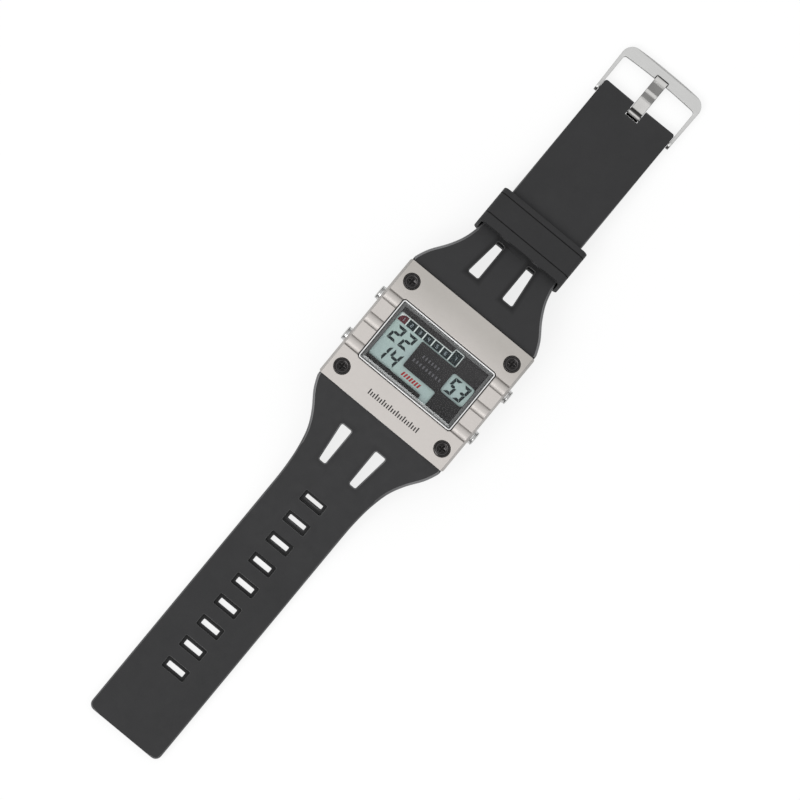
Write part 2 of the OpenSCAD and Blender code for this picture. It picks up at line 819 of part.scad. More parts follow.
// Round ribs that run across the plate, each in a channel with a fine line on both sides
module bezel_ribs() {
    half_w = rib_w / 2 - rib_line;
    rib_r = (half_w * half_w + rib_h * rib_h) / (2 * rib_h);
    intersection() {
        bezel_blank();
        at_ribs()
            translate([0, 0, case_h - rib_r])
                rod_x(-bezel_w / 2 - cut, bezel_w / 2 + cut, 2 * rib_r);
    }
}

module bezel_plate() {
    color("#d3ccc6")
    difference() {
        union() {
            difference() {
                bezel_blank();
                translate([-bezel_w / 2 - cut, -panel_l / 2, case_h - panel_drop])
                    cube([bezel_w + 2 * cut, panel_l, panel_drop + cut]);
                at_ribs()
                    translate([-bezel_w / 2 - cut, -rib_w / 2, case_h - rib_h])
                        cube([bezel_w + 2 * cut, rib_w, rib_h + cut]);
            }
            bezel_ribs();
        }
        plate(window_w, window_l, window_corner, seat_z - cut, bezel_t + 2 * cut);
        at_screws(screw_dx, screw_dy) {
            translate([0, 0, head_seat_z])
                cylinder(h = head_h + cut, d = head_d + 2 * head_gap);
            translate([0, 0, seat_z - cut])
                cylinder(h = bezel_t, d = shank_d + 2 * head_gap);
        }
    }
}

module corner_screws() {
    color("#2a2a2a")
    at_screws(screw_dx, screw_dy)
        translate([0, 0, head_seat_z])
            difference() {
                union() {
                    cylinder(h = head_h, d = head_d);
                    translate([0, 0, -shank_l])
                        cylinder(h = shank_l + cut, d = shank_d);
                }
                translate([0, 0, head_h - dish_depth])
                    cylinder(h = dish_depth + cut, d = dish_d);
                for (turn = [0, 90])
                    rotate([0, 0, turn])
                        translate([-cross_l / 2, -cross_w / 2, head_h - dish_depth - cross_depth])
                            cube([cross_l, cross_w, cross_depth + cut]);
            }
}

module window_trim() {
    color("#e0e0e0")
        frame_ring(trim_out_w, trim_out_l, trim_corner, trim_w, crystal_z, crystal_t);
}

module crystal() {
    side = crystal_w / 2;
    end = crystal_l / 2;
    low = crystal_z;
    shoulder = crystal_z + crystal_t - bevel_depth;
    top = crystal_z + crystal_t;
    color("#e8f0f0", 0.35)
    intersection() {
        plate(crystal_w, crystal_l, crystal_corner, crystal_z, crystal_t);
        along_y(crystal_l)
            polygon([
                [-side, low], [side, low], [side, shoulder],
                [side - bevel_w, top], [bevel_w - side, top], [-side, shoulder]
            ]);
        across(crystal_w)
            polygon([
                [-end, low], [end, low], [end, shoulder],
                [end - bevel_w, top], [bevel_w - end, top], [-end, shoulder]
            ]);
    }
}

module crystal_gasket() {
    color("#1c1c1c")
        frame_ring(trim_out_w, trim_out_l, trim_corner, gasket_w, seat_z, mask_t);
}

// The display areas that the dial mask leaves open
module main_area() {
    polygon(rounded([
        [area_left, area_low], [foot_left, area_low], [foot_left, foot_low], [area_right, foot_low],
        [area_right, lower_top], [column_right, lower_top], [column_right, day_low], [area_right, day_low],
        [area_right, last_day_top], [last_day_left, last_day_top], [last_day_left, day_top],
        [area_left, day_top]
    ], cutout_corner));
}
module seconds_area() {
    translate([seconds_right - seconds_w / 2, -seconds_drop])
        rounded_rect(seconds_w, seconds_h, seconds_corner);
}

module dial_mask() {
    color("#3c3c3e")
    difference() {
        plate(mask_w, mask_l, opening_corner, seat_z, mask_t);
        translate([0, 0, seat_z - cut])
            linear_extrude(mask_t + 2 * cut) {
                main_area();
                seconds_area();
            }
    }
}

// Dark day boxes printed on the display glass, the last one taller
module day_tiles() {
    color("#30363c")
    translate([0, 0, seat_z])
        linear_extrude(ink_t)
            for (i = [0 : days - 1])
                translate([area_left + day_frame + i * (day_w + day_gap), day_low + day_frame])
                    square([day_w, (i == days - 1 ? last_day_top : day_top) - day_low - 2 * day_frame]);
}

// Strokes of one digit on a field of w by h, named a to g as on any seven-stroke display.
// Each has the width t and ends cut aslant, and g is the gap at each end.
function level_stroke(w, h, t, g) = [[g, h], [w - g, h], [w - g - t, h - t], [g + t, h - t]];
function upright_stroke(h, t, g) = [
    [0, h - g], [t, h - g - t], [t, h / 2 + g + t / 2], [t / 2, h / 2 + g], [0, h / 2 + g]
];
function middle_stroke(w, h, t, g) = [
    [g + t / 2, h / 2], [g + t, h / 2 + t / 2], [w - g - t, h / 2 + t / 2],
    [w - g - t / 2, h / 2], [w - g - t, h / 2 - t / 2], [g + t, h / 2 - t / 2]
];
function flipped_x(stroke, w) = [for (p = reversed(stroke)) [w - p.x, p.y]];
function flipped_y(stroke, h) = [for (p = reversed(stroke)) [p.x, h - p.y]];
function strokes(w, h) =
    let (
        t = h * segment_share,
        g = h * segment_gap_share,
        top = level_stroke(w, h, t, g),
        left = upright_stroke(h, t, g),
        right = flipped_x(left, w)
    )
    [top, right, flipped_y(right, h), flipped_y(top, h), flipped_y(left, h), left, middle_stroke(w, h, t, g)];
function slanted(p) = [p.x + p.y * tan(digit_slant), p.y];
module digit(value, w, h) {
    for (name = lit[value])
        polygon([for (p = strokes(w, h)[search(name, "abcdefg")[0]]) slanted(p)]);
}
module number(value, x, y, w, h, gap) {
    translate([x, y]) {
        digit(floor(value / 10), w, h);
        translate([w + gap, 0])
            digit(value % 10, w, h);
    }
}

module lcd_segments() {
    seconds_x = seconds_left + second_inset;
    seconds_y = -seconds_drop - second_h / 2;
    color("#27363c")
    translate([0, 0, seat_z])
        linear_extrude(ink_t) {
            number(hours_shown, area_left + column_inset, hours_low, digit_w, digit_h, digit_gap);
            number(minutes_shown, area_left + column_inset, minutes_low, digit_w, digit_h, digit_gap);
            number(seconds_shown, seconds_x, seconds_y, second_w, second_h, second_gap);
        }
}

module lcd_glass() {
    color("#a9beba")
        plate(lcd_w, lcd_l, opening_corner, lcd_z, lcd_t);
}

module lcd_reflector() {
    color("white")
        plate(well_w - 2 * seat_gap, guide_l, opening_corner, reflector_z, reflector_t);
}

module light_guide() {
    guide_w = well_w - 2 * seat_gap - led_l - free_gap;
    color("#f4f4ee")
    translate([(led_l + free_gap) / 2, 0, 0])
        plate(guide_w, guide_l, opening_corner, guide_z, guide_t);
}

module backlight_led() {
    color("#f2e6a0")
    translate([-well_w / 2 + seat_gap, -led_w / 2, reflector_z - led_h])
        cube([led_l, led_w, led_h]);
}

module zebra_strips() {
    color("#c86a4a")
    for (side = [-1, 1])
        translate([opening_corner - well_w / 2, side * strip_y - zebra_w / 2, frame_z])
            cube([well_w - 2 * opening_corner, zebra_w, lcd_z - frame_z]);
}

module module_frame() {
    color("#f0f0ec")
        difference() {
            plate(module_w, module_l, cavity_corner, frame_z, lcd_z - frame_z);
            plate(well_w, well_l, opening_corner, frame_z - cut, lcd_z - frame_z + 2 * cut);
        }
}

module circuit_board() {
    color("#2f6b43")
        plate(module_w, module_l, cavity_corner, board_z, board_t);
}

module controller_chip() {
    color("#202020")
    translate([-chip_w / 2, -chip_w / 2, frame_z])
        cube([chip_w, chip_w, chip_h]);
}

module quartz_can() {
    color("silver")
    translate([chip_w / 2, strip_y / 2, frame_z + quartz_d / 2])
        rod_x(quartz_d, quartz_d + quartz_l, quartz_d);
}

module battery() {
    color("#c8c8c8")
    translate([battery_x, 0, battery_z]) {
        cylinder(h = battery_t - battery_step, d = battery_d);
        cylinder(h = battery_t, d = battery_d - 2 * battery_edge);
    }
}

module battery_holder() {
    color("#e6e6e2")
    difference() {
        plate(module_w, module_l, cavity_corner, battery_z, board_z - battery_z);
        translate([battery_x, 0, battery_z - cut])
            cylinder(h = board_z - battery_z + 2 * cut, d = battery_d + 2 * free_gap);
        translate([contact_x, 0, battery_z - cut])
            cylinder(h = board_z - battery_z + 2 * cut, d = contact_d + 2 * free_gap);
    }
}

module battery_clip() {
    reach = module_w / 2 - battery_x;
    color("#d0d0d0")
    translate([battery_x, 0, battery_z - clip_t])
        translate([-reach, -clip_w / 2, 0])
            cube([2 * reach, clip_w, clip_t]);
}

module buzzer_disc() {
    color("goldenrod")
    translate([buzzer_x, 0, back_t])
        cylinder(h = buzzer_t, d = buzzer_d);
}

module buzzer_spring() {
    color("silver")
    translate([contact_x, 0, back_t + buzzer_t])
        cylinder(h = board_z - back_t - buzzer_t, d = contact_d);
}

module contact_leaves() {
    color("#d8c890")
    at_pushers()
        translate([module_w / 2, -leaf_w / 2, -leaf_h / 2])
            cube([leaf_t, leaf_w, leaf_h]);
}

module pusher_bushes() {
    color("silver")
    at_pushers()
        difference() {
            rod_x(bush_in_x, bush_out_x, bush_d);
            rod_x(bush_in_x - cut, bush_out_x + cut, stem_d + 2 * running_gap);
            rod_x(spring_seat_x, bush_out_x + cut, spring_pocket_d);
            translate([seal_x, 0, 0])
                rod_x(0, seal_groove_w, stem_d + 4 * seal_r);
        }
}

// One pusher: a chamfered cap with a fine line round it, and the stem that carries the clip
module pusher() {
    clip_x = bush_in_x - clip_gap - clip_ring_t;
    line_x = (wall_x + cap_end_x) / 2;
    rotate([0, 90, 0])
        rotate_extrude()
            polygon([
                [0, stem_in_x], [stem_d / 2, stem_in_x], [stem_d / 2, clip_x],
                [stem_d / 2 - clip_groove, clip_x], [stem_d / 2 - clip_groove, clip_x + clip_ring_t],
                [stem_d / 2, clip_x + clip_ring_t], [stem_d / 2, cap_in_x], [cap_d / 2, cap_in_x],
                [cap_d / 2, line_x], [cap_d / 2 - cap_line_depth, line_x],
                [cap_d / 2 - cap_line_depth, line_x + cap_line_w], [cap_d / 2, line_x + cap_line_w],
                [cap_d / 2, cap_end_x - cap_edge], [cap_d / 2 - cap_edge, cap_end_x], [0, cap_end_x]
            ]);
}

module clip() {
    clip_x = bush_in_x - clip_gap - clip_ring_t;
    difference() {
        rod_x(clip_x, clip_x + clip_ring_t, clip_ring_d);
        rod_x(clip_x - cut, clip_x + clip_ring_t + cut, stem_d - 2 * clip_groove);
    }
}

module seal() {
    translate([seal_x + seal_groove_w / 2, 0, 0])
        rotate([0, 90, 0])
            rotate_extrude()
                translate([stem_d / 2 + seal_r, 0])
                    circle(seal_r - seal_slack, $fn = 24);
}

// A return spring: one wire wound about the stem from the bush's pocket to the cap
module return_spring() {
    wire_r = wire_d / 2;
    from = spring_seat_x + wire_r;
    to = cap_in_x - wire_r;
    mean_r = spring_pocket_d / 2 - wire_r - free_gap;
    rings = spring_turns * coil_steps;
    points = [
        for (i = [0 : rings], k = [0 : coil_sides - 1])
            let (a = 360 * i / coil_steps, b = 360 * k / coil_sides, r = mean_r + wire_r * cos(b))
            [from + (to - from) * i / rings + wire_r * sin(b), r * cos(a), r * sin(a)]
    ];
    sides = [
        for (i = [0 : rings - 1], k = [0 : coil_sides - 1])
            let (j = (k + 1) % coil_sides, p = i * coil_sides)
            each [[p + k, p + coil_sides + k, p + coil_sides + j], [p + k, p + coil_sides + j, p + j]]
    ];
    polyhedron(points, concat(
        sides,
        [for (k = [1 : coil_sides - 2]) [0, k, k + 1]],
        [for (k = [1 : coil_sides - 2]) let (p = rings * coil_sides) [p, p + k + 1, p + k]]
    ));
}

// The strap's outline from above: the flared head, then the plain strap to its rounded end
function strap_outline(end_y, r) = mirrored(concat(
    [for (p = smooth(flare_shares)) [strap_w / 2 + p.y * (body_w - strap_w) / 2, root_y + p.x * flare_l]],
    arc([strap_w / 2 - r, end_y - r], r, 0, 90, corner_steps)
));

// A point at the distance s down a strap of the given slope and n along its normal, as Y and Z
function on_slope(slope, s, n) = [
    root_y + s * cos(slope) + n * sin(slope),
    root_z - s * sin(slope) + n * cos(slope)
];

// The head's underside, which starts inside the case's outline and thins out to the strap
function head_underside(slope, t) = concat(
    [on_slope(slope, -strap_lead, -strap_head_t)],
    [for (p = smooth(thinning_shares)) on_slope(slope, p.x * thinning_l, -t - p.y * (strap_head_t - t))]
);

// The short strap from the side: one slope from the case to the spring bar
module short_section() {
    polygon(concat(
        [on_slope(short_slope, short_l, -short_t), on_slope(short_slope, short_l, 0)],
        [on_slope(short_slope, -strap_lead, 0)],
        head_underside(short_slope, short_t)
    ));
}

// Two vents whose outer edges lean in, as a cut through a head that runs towards +Y
module vents() {
    near_y = root_y + vent_start;
    far_y = near_y + vent_l;
    for (side = [-1, 1])
        linear_extrude(2 * case_h, center = true)
            polygon(rounded([
                [side * vent_in, near_y], [side * vent_near, near_y],
                [side * vent_far, far_y], [side * vent_in, far_y]
            ], vent_corner));
}

// Two ears that reach into the case under the bezel plate, each with the hole for a corner screw
module ears() {
    for (side = [-1, 1])
        translate([side * screw_dx / 2 - ear_w / 2, root_y - ear_l, seat_z - ear_t])
            cube([ear_w, ear_l + ear_root, ear_t]);
}
module ear_holes() {
    for (side = [-1, 1])
        translate([side * screw_dx / 2, screw_dy / 2, 0])
            cylinder(h = case_h, d = ear_hole_d);
}

module strap_upper() {
    end_y = root_y + short_l * cos(short_slope);
    color("#3d3d3f")
    difference() {
        union() {
            intersection() {
                across(body_w)
                    short_section();
                translate([0, 0, -case_h])
                    linear_extrude(3 * case_h)
                        polygon(strap_outline(end_y, short_corner));
            }
            ears();
        }
        vents();
        ear_holes();
        on_short_strap(bar_at, -short_t / 2)
            rod_x(-strap_w, strap_w, bore_d);
        on_short_strap(short_l - notch_l, -short_t / 2)
            translate([-notch_w / 2, 0, -short_t])
                cube([notch_w, notch_l + short_t, 2 * short_t]);
    }
}

// The long strap from the side: a slope, the bend down to the table and the flat tail
module long_section() {
    middle = [bend_y, bend_z];
    polygon(concat(
        [on_slope(long_slope, -strap_lead, 0)],
        arc(middle, long_bend_r, -90 - long_slope, -90, bend_steps),
        [[tip_y, table_z + long_t], [tip_y, table_z]],
        arc(middle, long_bend_r + long_t, -90, -90 - long_slope, bend_steps),
        reversed(head_underside(long_slope, long_t))
    ));
}

module adjusting_slot() {
    translate([0, 0, -long_t - cut])
        linear_extrude(long_t + 2 * cut)
            rounded_rect(slot_w, slot_l, slot_corner);
    translate([0, 0, -recess_depth])
        linear_extrude(recess_depth + long_t)
            rounded_rect(recess_w, recess_l, recess_corner);
}

module strap_lower() {
    color("#3d3d3f")
    mirror([0, 1, 0])
    difference() {
        union() {
            intersection() {
                across(body_w)
                    long_section();
                translate([0, 0, -case_h])
                    linear_extrude(3 * case_h)
                        polygon(strap_outline(tip_y, tip_corner));
            }
            ears();
        }
        vents();
        ear_holes();
        for (i = [0 : slots - 1])
            on_long_strap(slot_start + i * slot_pitch)
                adjusting_slot();
    }
}

module keeper_section(grow) {
    rounded_rect(
        keeper_gap_w + 2 * keeper_side_t + 2 * grow,
        keeper_gap_h + 2 * keeper_t + 2 * grow,
        keeper_corner + grow
    );
}

module keeper_loop() {
    color("#39393b")
    on_short_strap(keeper_at, -short_t / 2)
        rotate([-keeper_lean, 0, 0])
            difference() {
                along_y(keeper_l)
                    keeper_section(0);
                along_y(keeper_l + 2 * cut)
                    rounded_rect(keeper_gap_w, keeper_gap_h, keeper_gap_corner);
                for (y = [near_rim - keeper_l / 2, keeper_l / 2 - far_rim])
                    translate([0, y, 0])
                        along_y(line_w)
                            difference() {
                                keeper_section(cut);
                                keeper_section(-line_depth);
                            }
            }
}

module spring_bar_tube() {
    color("silver")
    on_short_strap(bar_at, -short_t / 2)
        difference() {
            rod_x(-bar_l / 2, bar_l / 2, bar_d);
            rod_x(-bar_l, bar_l, bar_d - 2 * bar_wall);
        }
}

module spring_bar_pins() {
    color("#b8b8b8")
    on_short_strap(bar_at, -short_t / 2)
        for (side = [0, 1])
            mirror([side, 0, 0])
                rod_x(bar_l / 2 - pin_in, frame_gap_w / 2 + arm_t - pin_blind, pin_d);
}

// One side of a bowed edge: a round corner at half the width w, then the bow up to the height y
function bowed_side(w, y, r, steps) =
    let (reach = w / 2 - r)
    concat(
        arc([reach, y - buckle_crown - r], r, 0, 90, steps),
        [
            for (i = [1 : corner_steps - 1])
                let (share = 1 - i / corner_steps)
                [reach * share, y - buckle_crown * share * share]
        ]
    );

// The frame from above: a U with rounded outer corners that is open towards the strap
module buckle_outline() {
    difference() {
        polygon(mirrored(concat(
            [[frame_gap_w / 2 + arm_t, -arm_end_d]],
            bowed_side(buckle_w, buckle_l, buckle_corner, 2 * corner_steps)
        )));
        polygon(mirrored(concat(
            [[frame_gap_w / 2, -2 * arm_end_d]],
            bowed_side(frame_gap_w, end_bar_y, frame_inner_corner, corner_steps)
        )));
    }
}

// The frame from the side: round ends at the spring bar, a slimmer arm and a rounded end bar
function buckle_profile() =
    let (
        top = end_bar_h / 2,
        waist = top * arm_waist_share,
        swell = arm_end_d / 2,
        bar_y = end_bar_y - buckle_crown
    )
    concat(
        [[0, -arm_end_d / 2], [arm_end_d, -waist], [bar_y - swell, -waist], [bar_y, -top]],
        arc([buckle_l - end_bar_edge, end_bar_edge - top], end_bar_edge, -90, 0, corner_steps),
        arc([buckle_l - end_bar_edge, top - end_bar_edge], end_bar_edge, 0, 90, corner_steps),
        [[bar_y, top], [bar_y - swell, waist], [arm_end_d, waist], [0, arm_end_d / 2]]
    );

module buckle_frame() {
    color("#c9c9c9")
    at_pivot()
        difference() {
            intersection() {
                translate([0, 0, -arm_end_d])
                    linear_extrude(2 * arm_end_d)
                        buckle_outline();
                union() {
                    rod_x(-buckle_w / 2, buckle_w / 2, arm_end_d);
                    across(buckle_w)
                        polygon(buckle_profile());
                }
            }
            rod_x(-buckle_w, buckle_w, pin_d + 2 * running_gap);
            translate([-tongue_w / 2 - free_gap, end_bar_y - cut, end_bar_h / 2 - tongue_seat])
                cube([tongue_w + 2 * free_gap, tongue_seat_l + cut, tongue_seat + cut]);
        }
}

// The tongue's middle line from the side, and the two sides of its thickness
function tongue_line() = smooth([
    for (p = tongue_shares) [p.x * tongue_reach, tongue_start + p.y * (tongue_rest - tongue_start)]
]);
function offset_side(line, d) = [
    for (i = [0 : len(line) - 1])
        let (run = unit(line[min(i + 1, len(line) - 1)] - line[max(i - 1, 0)]))
        line[i] + d * [-run.y, run.x]
];

module buckle_tongue() {
    line = tongue_line();
    top = offset_side(line, tongue_t / 2);
    bottom = offset_side(line, -tongue_t / 2);
    color("#d6d6d6")
    at_pivot()
        difference() {
            intersection() {
                union() {
                    rod_x(-tongue_w / 2, tongue_w / 2, tongue_eye_d);
                    across(tongue_w)
                        polygon(concat(top, reversed(bottom)));
                }
                translate([0, 0, -case_h])
                    linear_extrude(2 * case_h)
                        polygon(mirrored(concat(
                            [[tongue_w / 2, -tongue_eye_d]],
                            arc([tongue_w / 2 - tip_round, tongue_reach - tip_round],
                                tip_round, 0, 90, corner_steps)
                        )));
            }
            rod_x(-tongue_w, tongue_w, bore_d);
        }
}

case_body();
case_back();
back_gasket();
back_screws();
screw_inserts();
bezel_plate();
corner_screws();
window_trim();
crystal();
crystal_gasket();
dial_mask();
day_tiles();
lcd_segments();
lcd_glass();
lcd_reflector();
light_guide();
backlight_led();
zebra_strips();
module_frame();
circuit_board();
controller_chip();
quartz_can();
battery();
battery_holder();
battery_clip();
buzzer_disc();
buzzer_spring();
contact_leaves();
pusher_bushes();
color("silver") at_pusher(1, 1) pusher();  // pusher_right_upper
color("silver") at_pusher(1, -1) pusher();  // pusher_right_lower
color("silver") at_pusher(-1, 1) pusher();  // pusher_left_upper
color("silver") at_pusher(-1, -1) pusher();  // pusher_left_lower
color("dimgray") at_pusher(1, 1) clip();  // clip_right_upper
color("dimgray") at_pusher(1, -1) clip();  // clip_right_lower
color("dimgray") at_pusher(-1, 1) clip();  // clip_left_upper
color("dimgray") at_pusher(-1, -1) clip();  // clip_left_lower
color("#222222") at_pusher(1, 1) seal();  // seal_right_upper
color("#222222") at_pusher(1, -1) seal();  // seal_right_lower
color("#222222") at_pusher(-1, 1) seal();  // seal_left_upper
color("#222222") at_pusher(-1, -1) seal();  // seal_left_lower
color("gray") at_pusher(1, 1) return_spring();  // spring_right_upper
color("gray") at_pusher(1, -1) return_spring();  // spring_right_lower
color("gray") at_pusher(-1, 1) return_spring();  // spring_left_upper
color("gray") at_pusher(-1, -1) return_spring();  // spring_left_lower
strap_upper();
strap_lower();
keeper_loop();
spring_bar_tube();
spring_bar_pins();
buckle_frame();
buckle_tongue();
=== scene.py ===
"""Looks of the wristwatch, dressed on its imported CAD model.

X runs across the watch, Y along the strap to the buckle and Z out of the crystal. Lengths are in metres,
and MM turns millimetres into them. The print on the watch is laid out in millimetres.
"""
import math

import bmesh
import bpy
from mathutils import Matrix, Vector


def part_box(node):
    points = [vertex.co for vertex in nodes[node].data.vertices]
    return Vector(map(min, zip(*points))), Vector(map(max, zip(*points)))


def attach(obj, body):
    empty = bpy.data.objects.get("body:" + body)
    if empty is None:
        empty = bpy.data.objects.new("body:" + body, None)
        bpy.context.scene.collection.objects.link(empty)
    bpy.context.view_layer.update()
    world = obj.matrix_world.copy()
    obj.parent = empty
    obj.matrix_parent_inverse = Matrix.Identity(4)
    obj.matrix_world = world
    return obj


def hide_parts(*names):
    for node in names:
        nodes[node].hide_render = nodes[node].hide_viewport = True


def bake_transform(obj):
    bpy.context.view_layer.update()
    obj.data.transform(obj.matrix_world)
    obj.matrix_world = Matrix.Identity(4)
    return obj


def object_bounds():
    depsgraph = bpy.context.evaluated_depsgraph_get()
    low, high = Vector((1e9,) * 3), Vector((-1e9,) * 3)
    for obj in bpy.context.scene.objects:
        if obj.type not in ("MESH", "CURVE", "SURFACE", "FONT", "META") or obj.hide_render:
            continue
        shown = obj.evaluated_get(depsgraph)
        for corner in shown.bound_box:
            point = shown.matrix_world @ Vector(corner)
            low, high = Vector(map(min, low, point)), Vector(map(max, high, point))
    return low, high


MM = 0.001
WHITE = (1.0, 1.0, 1.0, 1.0)

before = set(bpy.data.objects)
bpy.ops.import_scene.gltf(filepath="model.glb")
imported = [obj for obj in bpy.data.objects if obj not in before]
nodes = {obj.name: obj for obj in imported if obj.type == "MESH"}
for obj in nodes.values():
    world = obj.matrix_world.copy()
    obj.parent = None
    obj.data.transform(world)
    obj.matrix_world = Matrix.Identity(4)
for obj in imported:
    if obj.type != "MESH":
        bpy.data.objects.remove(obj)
cad_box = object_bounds()

plate_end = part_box("bezel_plate")[1]
short_strap_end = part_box("strap_upper")[1].y
CASE_END_Y = plate_end.y

# The straps' width and, from the middle of the case, where their heads end, where their vents start and end,
# and where the vents' sides are: the inner side, and the outer side at the vent's start and at its end
STRAP_W = 24 * MM
HEAD_END = CASE_END_Y + 17 * MM
VENT_START = CASE_END_Y + 7 * MM
VENT_END = VENT_START + 11.3 * MM
VENT_IN = 4.2 * MM
VENT_NEAR = 7.6 * MM
VENT_FAR = 6.3 * MM


def box_mm(name):
    """The lowest and the highest corner of a node in millimetres."""
    return tuple(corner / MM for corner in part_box(name))


def new_object(name, data):
    """An object of the scene with the given mesh, lamp or camera."""
    obj = bpy.data.objects.new(name, data)
    bpy.context.scene.collection.objects.link(obj)
    return obj


def new_mesh(name, bm, material):
    """A mesh of one material from a bmesh, which is freed."""
    mesh = bpy.data.meshes.new(name)
    bm.to_mesh(mesh)
    bm.free()
    mesh.materials.append(material)
    return mesh


def box_outline(x0, y0, x1, y1):
    return [(x0, y0), (x1, y0), (x1, y1), (x0, y1)]


# Node trees


def feed(tree, socket, value):
    """Sets an input to a plain value, or links it to an output."""
    if isinstance(value, bpy.types.NodeSocket):
        tree.links.new(value, socket)
    else:
        socket.default_value = value


def add_node(tree, kind, inputs=(), **settings):
    """Adds a shader node, makes its settings and feeds its inputs, which go by name or by number."""
    made = tree.nodes.new("ShaderNode" + kind)
    for key, value in settings.items():
        setattr(made, key, value)
    for key, value in dict(inputs).items():
        feed(tree, made.inputs[key], value)
    return made


def empty_tree(owner):
    """The node tree of a material or a world, with nothing in it."""
    owner.use_nodes = True
    owner.node_tree.nodes.clear()
    return owner.node_tree


class Shader:
    """One Principled material and short ways to add the nodes that feed it.

    A noise's scale is its number of cells to a metre.
    """

    def __init__(self, name, specular, metallic=0.0):
        self.mat = bpy.data.materials.new(name)
        self.tree = empty_tree(self.mat)
        self.bsdf = self.node("BsdfPrincipled", {"Specular IOR Level": specular, "Metallic": metallic})
        self.node("OutputMaterial", {"Surface": self.bsdf.outputs[0]})
        self.place = self.node("TexCoord").outputs["Object"]

    def node(self, kind, inputs=(), **settings):
        return add_node(self.tree, kind, inputs, **settings)

    def to(self, key, value):
        self.tree.links.new(value, self.bsdf.inputs[key])

    def math(self, operation, a, b=0.0):
        return self.node("Math", {0: a, 1: b}, operation=operation).outputs[0]

    def mix(self, amount, a, b):
        """The colour a where amount is 0 and b where it is 1."""
        return self.node("Mix", {0: amount, 6: a, 7: b}, data_type="RGBA").outputs[2]

    def span(self, value, source, target=(0.0, 1.0)):
        """Takes a value from one range to another, and no further than its ends."""
        inputs = {0: value, 1: source[0], 2: source[1], 3: target[0], 4: target[1]}
        return self.node("MapRange", inputs).outputs[0]

    def stretched(self, x, y, z):
        return self.node("Mapping", {"Vector": self.place, "Scale": (x, y, z)}).outputs[0]

    def noise(self, scale, detail=2.0, rough=0.5, place=None):
        inputs = {"Vector": place or self.place, "Scale": scale, "Detail": detail, "Roughness": rough}
        return self.node("TexNoise", inputs).outputs["Fac"]

    def spread(self, noise, target=(0.0, 1.0)):
        """Takes a noise from the range in which it mostly lies to another."""
        return self.span(noise, (0.3, 0.7), target)

    def spots(self, scale):
        return self.node("TexVoronoi", {"Vector": self.place, "Scale": scale}).outputs["Distance"]

    def along(self, axis):
        """The place on one axis of the piece: 0 across, 1 along the strap, 2 up."""
        return self.node("SeparateXYZ", {0: self.place}).outputs[axis]

    def facing(self, axis):
        """How far the surface faces along one axis: 1 for straight along it and -1 for against it."""
        normal = self.node("TexCoord").outputs["Normal"]
        return self.node("SeparateXYZ", {0: normal}).outputs[axis]

    def shade_mask(self, reach, open_to_shut=(0.97, 0.62)):
        """From 0 on open faces to 1 in corners, grooves and recesses of the piece: where painted shade goes.
        """
        made = self.node("AmbientOcclusion", {"Distance": reach}, only_local=True, samples=8)
        return self.span(made.outputs["AO"], open_to_shut)

    def with_painted_shade(self, body, shade_tone, reach, share):
        """The body with a share of a darker tone painted as shade in its hollows."""
        return self.mix(self.math("MULTIPLY", self.shade_mask(reach), share), body, shade_tone)

    def bump(self, height, distance, strength, under=None):
        inputs = {"Height": height, "Distance": distance, "Strength": strength}
        if under is not None:
            inputs["Normal"] = under
        return self.node("Bump", inputs).outputs[0]


# Materials

# How far round it a surface is searched for walls, for the painted shade in its hollows
RESIN_HOLLOW = 2.4 * MM
PLATE_HOLLOW = 1.2 * MM
STEEL_HOLLOW = 0.9 * MM
# The shade round a strap's vents: where it starts to fade and where it ends, as distances from them, and
# how dark it is on the long and on the short strap
VENT_RIM = 0.1 * MM
VENT_REACH = 1.7 * MM
VENT_SHADES = (0.25, 0.85)
# The length over which the painted highlight on a strap's head fades into the rest
HEAD_FADE = 9 * MM


def colour(r, g, b):
    """A colour given as it shows on screen, 0 to 255, as the linear values that a shader takes."""
    shares = (r / 255, g / 255, b / 255)
    return tuple(c / 12.92 if c <= 0.04045 else ((c + 0.055) / 1.055) ** 2.4 for c in shares) + (1.0,)


def lighter(tone, times):
    """A tone made lighter, or darker where times is under 1."""
    return tuple(min(1.0, c * times) for c in tone[:3]) + (1.0,)


def clouded(s, dark, light):
    """The faint clouding of moulded resin."""
    return s.mix(s.spread(s.noise(90, detail=3.0, rough=0.55)), dark, light)


def grained(s, body, pale, share):
    """A share of a paler tone over the body, in a resin's fine grain."""
    grain = s.noise(5200, detail=3.0, rough=0.6)
    return s.mix(s.span(grain, (0.35, 0.75), (0.0, share)), body, pale)


def resin_surface(s, rough, grain):
    """The uneven sheen, the fine grain and the gentle waves of moulded resin."""
    s.to("Roughness", s.spread(s.noise(420), rough))
    fine = s.bump(s.noise(8800, rough=0.6), 0.03 * MM, grain)
    s.to("Normal", s.bump(s.noise(160), 0.1 * MM, 0.1, fine))


def resin(name, dark, light, rough, grain=0.3):
    """Moulded resin: a fine matt grain, faint clouding, a few pale specks and painted shade in its hollows.
    """
    s = Shader(name, 0.3)
    body = grained(s, clouded(s, dark, light), lighter(light, 1.7), 0.3)
    body = s.mix(s.span(s.spots(900), (0.0, 0.08), (0.3, 0.0)), body, lighter(light, 2.2))
    s.to("Base Color", s.with_painted_shade(body, lighter(dark, 0.3), RESIN_HOLLOW, 0.85))
    resin_surface(s, rough, grain)
    return s.mat


def vent_shade(s):
    """The mask of the painted shade round a strap's vents: 1 at them and 0 at VENT_REACH off them."""

    def beyond(a, b):
        return s.math("SUBTRACT", a, b)

    across = s.math("ABSOLUTE", s.along(0))
    out = s.math("ABSOLUTE", s.along(1))
    outer = s.span(out, (VENT_START, VENT_END), (VENT_NEAR, VENT_FAR))
    off_sides = s.math("MAXIMUM", beyond(VENT_IN, across), beyond(across, outer))
    off_ends = s.math("MAXIMUM", beyond(VENT_START, out), beyond(out, VENT_END))
    return s.span(s.math("MAXIMUM", off_sides, off_ends), (VENT_RIM, VENT_REACH), (1.0, 0.0))


